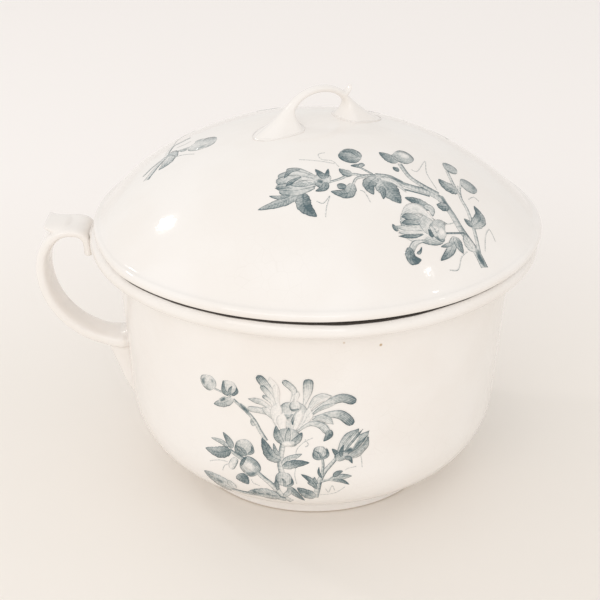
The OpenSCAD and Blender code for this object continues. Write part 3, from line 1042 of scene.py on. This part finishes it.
# %% Tendrils, on the body
spray = new_sheet(on_body(0))
tendrils(
    spray,
    [(-9, 10), (-8.5, 14.5), (-5, 19), (-1, 21.5)],
    [(-9, 3.5), (-9.5, -1), (-8.5, -6.5)],
    [(-54, -2), (-48.5, 0.5), (-43.5, 1)],
    [(-47, -5.5), (-45.5, -2), (-43, 0)],
    [(3, -14), (10, -13), (15, -9)],
    [(5.5, -9.5), (7, -12), (8.5, -7.5), (10, -11)],
    [(14.5, 2), (16.5, 3), (20, 3.5)],
    [(-31.5, -7), (-30.5, -9.5), (-27.5, -10.5)],
    [(-4.5, 20.5), (-3, 17.5), (-4.5, 16)],
    [(19.5, 10), (22, 9.5), (23, 2.5)],
)

# %% Twig with two buds, on the body
stem(spray, [(-23, 18), (-26, 23.5), (-28, 28), (-31, 32), (-34.5, 35), (-38.5, 38.5)], 2.1, 1.5, 0.45)
stem(spray, [(-39.5, 39.5), (-44, 41), (-48.5, 42)], 1.2, 1.0, 0.45)
wash(spray, [(-30.5, 31), (-33, 34.5), (-36, 37)], 1.9, 0.85, 0.45)
leaf(spray, [(-38.5, 38.5), (-44, 35), (-49, 33)], 4.3, 0.20, 0.70)
wash(spray, [(-42, 39), (-44, 37), (-46, 35.5)], 1.8, 0.80, 0.30)
bud(spray, [(-48.5, 41.5), (-51, 44.5), (-52, 48.5)], 8.7, 0.32, 0.20)
wash(spray, [(-52.5, 47.5), (-54, 44.5), (-53, 41.5)], 2.0, 0.70, 0.25)
wash(spray, [(-49.5, 47.5), (-49, 46), (-49.5, 44.5)], 1.5, 0.60, 0.20)
bud(spray, [(-39.5, 40), (-40, 44), (-40, 48.5)], 7.8, 0.40, 0.12)
leaf(spray, [(-40.5, 40.5), (-43, 42), (-43, 48)], 2.6, 0.55, 0.75)
leaf(spray, [(-39, 40.5), (-36.5, 43), (-36.5, 45.5)], 1.7, 0.55, 0.75)
leaf(spray, [(-39.5, 40.5), (-40, 43), (-38.5, 46)], 1.6, 0.45, 0.60)
leaf(spray, [(-28.5, 25.5), (-29.5, 27), (-30, 29.5)], 1.7, 0.25, 0.35)

# %% Main stem and its leaves, on the body
stem(spray, [(-15, 17), (-16, 11), (-16.5, 4.5), (-16, -1), (-18.5, -7.5), (-18.5, -12),
     (-16, -16.5), (-12, -20.5)], 2.6, 3.2, 0.40)
leaf(spray, [(-16, 7.5), (-21.5, 10.5), (-25, 19.5)], 5.8, 0.40, 0.85)
leaf(spray, [(-16.5, 10), (-18.5, 12.5), (-19.5, 17)], 2.3, 0.45, 0.60)
leaf(spray, [(-15.5, 4.5), (-12, 8.5), (-6, 12)], 4.0, 0.15, 0.40)
leaf(spray, [(-15.5, 3.5), (-9.5, 6), (-2.5, 7)], 4.5, 0.35, 0.90)

# %% Cluster of buds on the left, on the body
stem(spray, [(-18.5, -12), (-22, -7.5), (-25, -4.5), (-28, -1.5)], 3.6, 2.2, 0.45)
stem(spray, [(-32.5, 4), (-36.5, 5.5), (-39.5, 7), (-42, 8.5)], 2.9, 1.9, 0.55)
leaf(spray, [(-41.5, 8.5), (-48.5, 5), (-56, 5)], 6.0, 0.70, 0.55)
leaf(spray, [(-41, 9.5), (-42, 13.5), (-45, 18)], 4.0, 0.50, 0.80)
leaf(spray, [(-42.5, 10), (-46.5, 12), (-52, 12.5)], 2.9, 0.40, 0.40)
bud(spray, [(-33, 7.5), (-34, 12), (-36, 16)], 9.3, 0.42, 0.25)
leaf(spray, [(-33, 7.5), (-38, 8.5), (-38.5, 13)], 2.1, 0.50, 0.80)
leaf(spray, [(-32.5, 8), (-30, 10.5), (-30.5, 13.5)], 1.9, 0.50, 0.80)
leaf(spray, [(-33, 7.5), (-35, 10.5), (-38, 12)], 1.8, 0.45, 0.75)
leaf(spray, [(-38, -5), (-36, -7.5), (-33.5, -11)], 7.0, 0.60, 0.90)
bud(spray, [(-38.5, 4.5), (-40.5, 1), (-42, -3)], 4.0, 0.22, 0.12)
bud(spray, [(-36, 4), (-32, 1.5), (-28, -2.5)], 10.9, 0.28, 0.45)
wash(spray, [(-35, 3), (-32, 1.5), (-30, -0.5)], 3.7, 0.14, 0.30)
wash(spray, [(-34.5, -3), (-31.5, -3.5), (-27.5, -1)], 2.6, 0.80, 0.40)
leaf(spray, [(-36.5, 0.5), (-35, 4), (-33, 6.5)], 1.8, 0.60, 0.75)

# %% Leaf and stem along the bottom, on the body
stem(spray, [(-15, -19), (-22.5, -18), (-30, -18), (-37.5, -19), (-45.5, -19)], 3.7, 2.1, 0.55)
leaf(spray, [(-45, -18.5), (-51, -15.5), (-59.5, -11)], 11.0, 0.30, 0.60)
wash(spray, [(-50, -17.5), (-51, -14.5), (-53.5, -13.5)], 3.8, 0.75, 0.35)
wash(spray, [(-53, -12), (-54.5, -11.5), (-56.5, -11.5)], 2.6, 0.65, 0.35)
leaf(spray, [(-18, -18), (-25.5, -16), (-35.5, -17.5)], 7.5, 0.45, 0.60)
wash(spray, [(-33, -16), (-31.5, -16), (-29.5, -16)], 2.8, 0.85, 0.45)
wash(spray, [(-26, -16), (-24, -16), (-22, -16)], 2.3, 0.80, 0.45)
leaf(spray, [(-43.5, -17.5), (-44, -14.5), (-44.5, -11.5)], 4.9, 0.20, 0.35)

# %% Bud at the foot of the stem, on the body
leaf(spray, [(-13, -8.5), (-10, -13), (-5, -19)], 4.0, 0.45, 0.80)
bud(spray, [(-15.5, -8.5), (-15, -4), (-15, 0.5)], 8.3, 0.36, 0.28)
leaf(spray, [(-14.5, -9), (-11, -6.5), (-11, -2.5)], 1.6, 0.45, 0.80)
leaf(spray, [(-15, -9), (-14.5, -5.5), (-16, -3)], 1.4, 0.40, 0.65)
leaf(spray, [(-18.5, -12), (-18.5, -7), (-19, -4)], 1.9, 0.60, 0.70)
leaf(spray, [(-16, -16.5), (-13, -13), (-12.5, -9)], 3.0, 0.30, 0.50)

# %% Branch on the right, on the body
stem(spray, [(0.5, -16), (1.5, -9.5), (2.5, -3.5), (4.5, 1.5), (7, 5), (10, 9)], 3.1, 1.8, 0.45)
stem(spray, [(3.5, 0), (4, 5.5), (3.5, 9.5)], 1.3, 1.1, 0.50)
leaf(spray, [(3.5, -2), (2, 1), (2, 4.5)], 1.4, 0.60, 0.85)
bud(spray, [(3.5, 9), (2.5, 12.5), (2, 16.5)], 6.6, 0.45, 0.30)
leaf(spray, [(3.5, 9), (6, 11.5), (5.5, 15.5)], 1.6, 0.50, 0.85)
leaf(spray, [(3, 9), (0, 10), (-1, 13)], 1.6, 0.45, 0.75)
leaf(spray, [(3.5, 9), (2.5, 12), (0, 14)], 1.2, 0.40, 0.75)
stem(spray, [(3, -4.5), (6, -3.5), (9, -3)], 1.4, 1.0, 0.40)
leaf(spray, [(7, -3.5), (12.5, -2), (18, -2)], 3.7, 0.20, 0.55)
leaf(spray, [(9, -1.5), (11, 0.5), (13.5, 1.5)], 2.7, 0.65, 0.75)
leaf(spray, [(8.5, -3.5), (13, -4.5), (17, -7.5)], 2.3, 0.40, 0.80)
leaf(spray, [(1, -9.5), (-2, -3.5), (-6.5, 0)], 3.0, 0.55, 0.85)
leaf(spray, [(1.5, -6), (0, -3.5), (0, -1.5)], 1.8, 0.50, 0.80)
leaf(spray, [(0, -7.5), (-2, -6), (-3.5, -5)], 1.7, 0.50, 0.60)
leaf(spray, [(0.5, -16), (-4, -13), (-8.5, -9)], 5.7, 0.50, 0.75)
leaf(spray, [(-1, -16.5), (-4.5, -14.5), (-7, -12)], 3.0, 0.50, 0.60)

# %% Tulip-like flower, on the body
leaf(spray, [(12, 9), (10, 12.5), (8, 15)], 2.6, 0.50, 0.90)
leaf(spray, [(12.5, 10.5), (12, 14), (13, 17)], 2.2, 0.50, 0.85)
leaf(spray, [(14, 9), (16.5, 8.5), (18, 5.5)], 2.2, 0.50, 0.90)
blade(spray, [(11, 9), (15, 17.5), (20.5, 25.5)], 7.5, 0.30, 0.60)
blade(spray, [(14.5, 9), (20, 11), (23.5, 16)], 4.4, 0.36, 0.65)
blade(spray, [(14, 9), (20.5, 13.5), (25.5, 20)], 6.6, 0.40, 0.70)
blade(spray, [(13.5, 10), (19.5, 16.5), (25.5, 23.5)], 5.7, 0.30, 0.60)
wash(spray, [(16.5, 12.5), (18, 17.5), (20, 22)], 2.9, 0.04, 0.32)
wash(spray, [(18.5, 13), (20.5, 16.5), (22, 19)], 2.5, 0.85, 0.42)
wash(spray, [(14.5, 13), (16.5, 13.5), (18, 13.5)], 2.5, 0.90, 0.42)
blade(spray, [(13.5, 12), (17, 17.5), (22.5, 25)], 1.3, 0.45, 0.85)
blade(spray, [(15, 11), (20, 15), (25, 21.5)], 1.4, 0.50, 0.90)
blade(spray, [(12, 12.5), (14, 18), (18, 23)], 1.1, 0.30, 0.65)
bud(spray, [(10, 8.5), (12.5, 10.5), (15.5, 12)], 5.6, 0.40, 0.36)
leaf(spray, [(12.5, 10), (12.5, 13.5), (13.5, 17)], 2.0, 0.50, 0.85)
leaf(spray, [(14, 9.5), (16.5, 9), (18, 6)], 2.0, 0.45, 0.90)

# %% Outer petals of the bloom, on the body
blade(spray, [(-17.5, 36.5), (-18.5, 45.5), (-20.5, 54.5)], 5.4, 0.06, 0.04)
petal(spray, [(-18, 36.5), (-20, 45), (-26, 54.5)], 4.4, 0.03, 0.80)
petal(spray, [(-18, 36.5), (-20, 43), (-24.5, 49)], 3.0, 0.03, 0.75)
petal(spray, [(-18.5, 36), (-20, 40.5), (-24, 43.5)], 2.1, 0.03, 0.55)
blade(spray, [(-17, 38), (-18, 46), (-17.5, 51.5)], 2.6, 0.08, 0.05)
petal(spray, [(-11, 41), (-9.5, 47.5), (-14.5, 53)], 3.2, 0.12, 0.55)
blade(spray, [(-9, 41.5), (-8.5, 44.5), (-7.5, 47.5)], 2.6, 0.10, 0.18)
petal(spray, [(-5, 40), (-3.5, 47), (-3, 54.5)], 4.5, 0.10, 0.72)
blade(spray, [(-3, 37), (1, 43), (7.5, 45)], 5.0, 0.18, 0.20)
petal(spray, [(-3, 34.5), (4, 40), (12, 43.5), (18.5, 40.5)], 4.7, 0.18, 0.92)
blade(spray, [(-2, 34), (3, 38.5), (9.5, 40.5)], 2.3, 0.40, 0.20)
petal(spray, [(-1.5, 32.5), (5.5, 34.5), (12, 34), (17.5, 28)], 4.9, 0.24, 0.92)
blade(spray, [(-1, 31.5), (3.5, 33), (8.5, 29)], 4.2, 0.28, 0.40)
blade(spray, [(-18, 35), (-24.5, 39.5), (-31, 40.5)], 3.0, 0.12, 0.62)
petal(spray, [(-18, 30), (-23, 34.5), (-31.5, 35)], 3.2, 0.16, 0.36)
blade(spray, [(-17.5, 29), (-21, 34), (-24.5, 37)], 3.6, 0.14, 0.22)

# %% Cup of the bloom, on the body
bud(spray, [(-10, 26), (-10, 33.5), (-10, 41.5)], 14.3, 0.17, 0.22)
wash(spray, [(-16, 32.5), (-13, 33), (-10, 32.5)], 3.3, 0.70, 0.15)
wash(spray, [(-8, 34.5), (-9, 31.5), (-11, 28)], 3.4, 0.75, 0.15)
bud(spray, [(-9, 36), (-9, 39), (-9, 42)], 5.4, 0.30, 0.15)
blade(spray, [(-11.5, 37.5), (-9.5, 37), (-7, 38)], 1.2, 0.55, 0.80)
blade(spray, [(-8, 37.5), (-9, 33), (-10.5, 28.5)], 2.6, 0.45, 0.95)
blade(spray, [(-10, 34.5), (-13, 33), (-16, 32.5)], 1.7, 0.35, 0.85)
blade(spray, [(-15.5, 23.5), (-18, 33), (-16.5, 41)], 5.3, 0.06, 0.04)
blade(spray, [(-14, 23.5), (-15.5, 29.5), (-14.5, 35)], 4.7, 0.03, 0.02)
blade(spray, [(-10, 24), (-8, 31.5), (-6.5, 37.5)], 3.5, 0.06, 0.04)
blade(spray, [(-8, 25.5), (-4, 32.5), (-2.5, 39.5)], 3.4, 0.08, 0.05)
blade(spray, [(-6.5, 27), (-3, 32.5), (-1.5, 36.5)], 2.6, 0.12, 0.05)
petal(spray, [(-8, 25), (-2.5, 29.5), (3, 28.5), (6, 24)], 3.8, 0.26, 0.35)
leaf(spray, [(6, 26), (6.5, 23), (4, 19.5)], 3.7, 0.45, 0.95)
bud(spray, [(-13.5, 16), (-12.5, 21.5), (-12.5, 26.5)], 11.0, 0.26, 0.38)
leaf(spray, [(-15, 17.5), (-17.5, 21.5), (-18, 27.5)], 3.9, 0.40, 0.75)
leaf(spray, [(-11, 17.5), (-8, 20.5), (-6, 24.5)], 3.6, 0.35, 0.75)
leaf(spray, [(-13, 18), (-12.5, 22.5), (-12, 27)], 2.7, 0.28, 0.60)
wash(spray, [(-15.5, 17.5), (-13, 17.5), (-9.5, 18.5)], 2.4, 0.06, 0.26)
lay_print("body_spray_print", spray, "pot")

# %% [markdown]
# ## The spray on the lid
# A branch sweeps up from the edge of the lid and bends over to the left. It carries a peony, a half-open
# rose, buds and toothed leaves. It is laid on the dome by the same tools.

# %% Tendrils, on the lid
branch = new_sheet(on_lid(0))
tendrils(
    branch,
    [(11, -46), (8, -42), (3, -41), (1.5, -37), (4.5, -35.5)],
    [(9, -44), (2.5, -42.5), (-7.5, -41)],
    [(0.5, -68), (3.5, -69), (6.5, -65), (5, -71), (4.5, -76)],
    [(20.5, -60), (22.5, -61), (25, -66)],
    [(45.5, -38), (48.5, -37.5), (53, -26.5), (53, -37), (57, -46.5)],
    [(72.5, -43), (75.5, -39), (78, -40)],
    [(78, -68.5), (79, -60.5), (81.5, -55), (84, -59.5)],
    [(60, -86), (64, -84), (66, -78), (69, -74)],
    [(57, -65), (60.5, -65), (64.5, -62)],
)

# %% Branch, on the lid
stem(branch, [(77, -76.5), (74, -72), (70.5, -68.5), (66.5, -64), (62.5, -57.5),
     (58, -52.5)], 4.2, 3.2, 0.50)
stem(branch, [(75, -71.5), (74, -64), (73, -58.5), (71, -50.5), (68.5, -44.5),
     (68.5, -36.5)], 1.8, 1.6, 0.40)
stem(branch, [(59, -52), (52.5, -50.5), (46, -51), (40, -50.5), (35, -48), (28, -48.5)], 4.2, 2.1, 0.50)
stem(branch, [(40, -54), (46.5, -53.5), (53, -53)], 1.0, 0.8, 0.75)
stem(branch, [(57.5, -49.5), (50, -47.5), (44, -44), (40, -36)], 3.0, 2.2, 0.50)
stem(branch, [(28, -49), (22, -50.5), (17, -50.5), (11, -54.5), (6, -57)], 1.8, 1.2, 0.50)
stem(branch, [(26.5, -48.5), (22.5, -46), (18, -43.5)], 1.2, 1.1, 0.60)
stem(branch, [(68.5, -65.5), (63, -68.5), (58, -71)], 0.8, 0.7, 0.80)
stem(branch, [(68, -43), (65.5, -36.5), (63.5, -28)], 1.8, 1.5, 0.40)
stem(branch, [(69, -37.5), (70.5, -31.5), (73.5, -28.5)], 0.9, 1.2, 0.35)
wash(branch, [(77.5, -76), (75, -73), (74.5, -70)], 2.4, 0.95, 0.55)
wash(branch, [(33.5, -47.5), (38.5, -49), (42.5, -51)], 1.7, 0.90, 0.50)
wash(branch, [(59, -49.5), (60.5, -53.5), (63, -56)], 1.9, 0.90, 0.50)
leaf(branch, [(61.5, -54.5), (58.5, -56.5), (56, -56.5)], 4.3, 0.45, 0.80)
leaf(branch, [(72.5, -72), (70, -69.5), (68.5, -66)], 5.0, 0.20, 0.35)

# %% Buds above the branch, on the lid
bud(branch, [(21.5, -38.5), (16.5, -36.5), (12, -34)], 11.7, 0.45, 0.55)
leaf(branch, [(21.5, -37), (17.5, -32.5), (12.5, -34.5)], 3.7, 0.55, 0.85)
leaf(branch, [(20.5, -38.5), (16, -39.5), (12.5, -37.5)], 3.1, 0.40, 0.80)
leaf(branch, [(21.5, -44), (19.5, -44), (16.5, -44.5)], 2.7, 0.50, 0.75)
bud(branch, [(20.5, -44.5), (21.5, -43), (23, -42)], 2.6, 0.45, 0.55)
leaf(branch, [(39, -35.5), (35, -33), (30.5, -30)], 6.4, 0.40, 0.90)
leaf(branch, [(39.5, -41), (38, -41), (36.5, -40)], 3.4, 0.55, 0.80)
bud(branch, [(38, -27), (41.5, -29), (46, -32)], 11.7, 0.38, 0.45)
wash(branch, [(39.5, -27), (42.5, -27.5), (45, -28.5)], 4.2, 0.10, 0.36)
leaf(branch, [(67.5, -41), (62.5, -41), (58.5, -38)], 6.7, 0.45, 0.70)
bud(branch, [(62, -24.5), (65.5, -24), (69, -24.5)], 8.3, 0.42, 0.42)
bud(branch, [(69.5, -32), (73.5, -32.5), (77.5, -34)], 9.1, 0.36, 0.55)
leaf(branch, [(72.5, -60), (77.5, -51.5), (75, -45.5)], 5.1, 0.30, 0.90)
leaf(branch, [(73, -59), (71, -58.5), (69, -57.5)], 3.4, 0.40, 0.75)

# %% Peony, on the lid
leaf(branch, [(-5.5, -62.5), (-14.5, -67.5), (-26, -70)], 4.8, 0.40, 0.60)
leaf(branch, [(-11.5, -64.5), (-16.5, -65), (-21, -63.5)], 2.2, 0.50, 0.60)
leaf(branch, [(-5.5, -63.5), (-5, -70.5), (0.5, -76)], 6.5, 0.55, 0.95)
bud(branch, [(0.5, -56.5), (-8, -56.5), (-15.5, -56)], 14.7, 0.30, 0.30)
petal(branch, [(-0.5, -53), (-7.5, -49.5), (-13.5, -49.5)], 4.6, 0.30, 0.70)
petal(branch, [(-0.5, -54), (-9.5, -51), (-17, -53.5)], 5.0, 0.26, 0.62)
petal(branch, [(-0.5, -60.5), (-8, -63), (-16.5, -61)], 4.4, 0.32, 0.52)
petal(branch, [(0, -59), (-8.5, -60), (-18, -58.5)], 4.4, 0.24, 0.55)
petal(branch, [(0, -56), (-9.5, -54), (-18, -56)], 4.6, 0.22, 0.60)
leaf(branch, [(-0.5, -57), (-6, -58), (-11.5, -58.5)], 4.0, 0.20, 0.55)
blade(branch, [(-6.5, -53.5), (-10.5, -56), (-13.5, -59)], 2.5, 0.55, 0.98)
blade(branch, [(-7, -48.5), (-11.5, -49.5), (-14.5, -54)], 2.1, 0.55, 0.95)
blade(branch, [(-11, -60.5), (-14.5, -59.5), (-18.5, -59.5)], 1.7, 0.45, 0.85)
bud(branch, [(6.5, -57), (3.5, -56), (-0.5, -56)], 9.8, 0.34, 0.36)
leaf(branch, [(4.5, -55), (2.5, -52), (0, -48.5)], 3.3, 0.50, 0.95)
leaf(branch, [(5, -54.5), (5.5, -51.5), (6, -48)], 2.1, 0.50, 0.95)
leaf(branch, [(5, -57), (4, -60.5), (0, -62.5)], 3.5, 0.45, 0.90)
wash(branch, [(0.5, -57.5), (2, -56.5), (3.5, -58)], 2.4, 0.90, 0.35)

# %% Hanging leaves, on the lid
stem(branch, [(23, -51), (19, -53), (17, -58)], 1.7, 0.9, 0.40)
leaf(branch, [(17, -56.5), (14.5, -63), (7, -62.5)], 5.2, 0.35, 0.80)
bud(branch, [(10, -59.5), (12, -59), (14, -59.5)], 3.7, 0.65, 0.75)
leaf(branch, [(17, -50.5), (14, -50), (11, -47.5)], 4.2, 0.45, 0.75)
leaf(branch, [(28.5, -50), (24.5, -56), (26.5, -61.5)], 5.7, 0.35, 0.85)
leaf(branch, [(29, -49.5), (33.5, -56.5), (39, -63)], 10.3, 0.30, 0.90)
leaf(branch, [(30.5, -55.5), (31, -59), (31, -63)], 3.0, 0.45, 0.90)
leaf(branch, [(30, -50.5), (36, -50.5), (42, -55.5)], 3.0, 0.15, 0.25)
leaf(branch, [(53, -61), (47.5, -59.5), (41, -59)], 4.7, 0.40, 0.85)
leaf(branch, [(50, -60.5), (53, -60.5), (53.5, -64.5)], 3.7, 0.35, 0.30)

# %% Half-open rose, on the lid
bud(branch, [(58.5, -71), (48, -72), (38.5, -69.5)], 14.9, 0.20, 0.22)
blade(branch, [(53.5, -67), (46.5, -63), (38.5, -69.5)], 5.5, 0.10, 0.40)
blade(branch, [(52.5, -72), (45, -78), (35.5, -75.5)], 4.9, 0.05, 0.14)
leaf(branch, [(37, -77.5), (35.5, -76.5), (34.5, -75)], 2.1, 0.55, 0.95)
blade(branch, [(49.5, -68.5), (44, -68.5), (38.5, -70.5)], 3.5, 0.40, 0.85)
blade(branch, [(49.5, -70.5), (43.5, -71.5), (38.5, -73.5)], 2.9, 0.45, 0.90)
blade(branch, [(49.5, -72.5), (43, -75), (35, -76)], 2.5, 0.16, 0.55)
blade(branch, [(49.5, -74), (43.5, -76.5), (37, -78.5)], 2.0, 0.12, 0.45)
blade(branch, [(48.5, -75.5), (44, -78), (37, -80)], 1.8, 0.50, 0.98)
blade(branch, [(57.5, -71), (52, -71), (49, -65.5)], 8.7, 0.20, 0.32)
bud(branch, [(59, -70.5), (57, -70), (53.5, -67)], 11.5, 0.38, 0.34)
wash(branch, [(56.5, -69), (57.5, -71), (55.5, -74)], 3.2, 0.06, 0.34)
leaf(branch, [(52.5, -75.5), (52, -73.5), (51, -72)], 2.2, 0.75, 0.85)
petal(branch, [(49.5, -78), (44.5, -81), (42, -86)], 2.6, 0.24, 0.45)
leaf(branch, [(42, -83.5), (42.5, -88), (47, -87)], 4.3, 0.55, 0.98)
leaf(branch, [(45, -85), (46.5, -84), (47.5, -81.5)], 1.2, 0.60, 0.90)
leaf(branch, [(63.5, -70), (61, -77.5), (56, -84)], 3.7, 0.22, 0.80)
leaf(branch, [(64, -70), (65, -73), (67, -76)], 4.1, 0.32, 0.85)
leaf(branch, [(62, -74), (59.5, -76), (56.5, -78)], 1.6, 0.30, 0.70)
lay_print("lid_spray_print", branch, "lid")

# %% [markdown]
# ## The sprig on the lid
# A small sprig on the left of the lid: one bud, three leaves and bare twigs, in a thinner ink.

# %% Sprig
sprig = new_sheet(on_lid(0))
tendrils(
    sprig,
    [(-72, 12), (-70.5, 28), (-67, 39.5), (-62.5, 41)],
    [(-68, -8.5), (-64, -10.5), (-58.5, -15)],
    [(-69, 5.5), (-65, 5), (-62, 6)],
)
stem(sprig, [(-82.5, -18), (-80, -13), (-77, -7), (-73.5, -2), (-70, -1), (-66, -2),
     (-60.5, -3.5)], 3.4, 1.4, 0.43)
stem(sprig, [(-85, -11), (-80.5, -6), (-74.5, -1)], 1.4, 1.5, 0.36)
stem(sprig, [(-74, 1.5), (-72, 12.5), (-69, 13.5), (-63, 15)], 2.2, 2.4, 0.31)
bud(sprig, [(-61, -1.5), (-55, -5.5), (-48, -6.5)], 13.3, 0.27, 0.34)
wash(sprig, [(-57, -8), (-55, -10), (-52.5, -11)], 3.5, 0.62, 0.29)
wash(sprig, [(-59.5, 1), (-57.5, 1), (-55, -0.5)], 3.2, 0.48, 0.29)
leaf(sprig, [(-74, -1), (-71.5, -2), (-68, -9)], 7.2, 0.45, 0.36)
leaf(sprig, [(-72, -3.5), (-72.5, -10.5), (-76.5, -14.5)], 6.3, 0.20, 0.62)
leaf(sprig, [(-66.5, -2.5), (-64.5, -4.5), (-63, -5.5)], 2.3, 0.43, 0.56)
lay_print("lid_sprig_print", sprig, "lid")

# %% [markdown]
# ## The sides that can't be seen
# Prints were cut from one sheet and used again round the piece. The far side doesn't show in the
# photograph, so it is a guess: the spray of the body is pulled twice more, about a third of the way round
# each time, which keeps clear of the handle, and the sprig of the lid twice more behind the arch.

# %% Far side
BODY_TURNS = (118, 236)
LID_TURNS = (-70, -125)

for number, round_by in enumerate(BODY_TURNS, 2):
    lay_print(f"body_spray_print_{number}", pull_again(spray, on_body(round_by)), "pot")
for number, round_by in enumerate(LID_TURNS, 2):
    lay_print(f"lid_sprig_print_{number}", pull_again(sprig, on_lid(round_by)), "lid")

# %% [markdown]
# ## Floor and light
# The floor is plain and pale, and is painted a little paler into the distance: painted light, darker near
# the pot and brighter towards the back. It is only a stage, so it isn't part of the object.

# %% Floor
# Painted light on the floor: a darker tone near the pot, a paler one towards the back.
NEAR_SHADED_TONE = (0.905, 0.858, 0.805, 1)
FAR_LIT_TONE = (0.972, 0.930, 0.905, 1)
FLOOR_HALF = 60
FAR_AWAY = 0.45

floor_shape = bmesh.new()
bmesh.ops.create_grid(floor_shape, x_segments=1, y_segments=1, size=FLOOR_HALF)
floor_mesh = bpy.data.meshes.new("floor")
floor_shape.to_mesh(floor_mesh)
floor_shape.free()
floor = add_object("floor", floor_mesh)
floor_material, floor_tree, floor_shader = new_material("pale_floor")
_, away, _ = place_xyz(floor_tree)
floor_painted_light = tint(floor_tree, remap(floor_tree, away, 0.0, FAR_AWAY), NEAR_SHADED_TONE, FAR_LIT_TONE)
floor_tree.links.new(floor_painted_light, floor_shader.inputs["Base Color"])
floor_shader.inputs["Roughness"].default_value = 0.55
floor_mesh.materials.append(floor_material)

# %% [markdown]
# Most of the light comes from a bright soft room, so the shadows stay faint.

# %% Room
ROOM_TONE = (1.0, 0.985, 0.965, 1)
ROOM_STRENGTH = 0.86

room = bpy.data.worlds.new("soft_room")
room.use_nodes = True
room_light = room.node_tree.nodes["Background"]
room_light.inputs["Color"].default_value = ROOM_TONE
room_light.inputs["Strength"].default_value = ROOM_STRENGTH
bpy.context.scene.world = room

# %% [markdown]
# A broad lamp stands in front, and two small lamps are mirrored on the lid: a little window of light on its
# left shoulder and a spark near the front edge. A mirror shows a lamp where the angles match, so each of
# these two hangs on the line that the reflection at its spot points along.

# %% Lamps
def soft_lamp(name, at, aim, size, watts):
    lamp = bpy.data.lights.new(name, "AREA")
    lamp.shape = "RECTANGLE"
    lamp.size, lamp.size_y = size
    lamp.energy = watts
    holder = add_object(name, lamp)
    holder.location = at
    holder.rotation_euler = (Vector(aim) - Vector(at)).to_track_quat("-Z", "Y").to_euler()


soft_lamp("window_lamp", at=(-1.127, 0.614, 1.15), aim=(-0.069, -0.062, 0.158), size=(0.09, 0.11), watts=1.5)
soft_lamp("spark_lamp", at=(1.05, -0.216, 1.39), aim=(0.05, -0.094, 0.147), size=(0.05, 0.02), watts=0.16)
soft_lamp("front_lamp", at=(-0.5, -2.1, 1.2), aim=(0, 0, 0.05), size=(2.4, 1.2), watts=13.5)
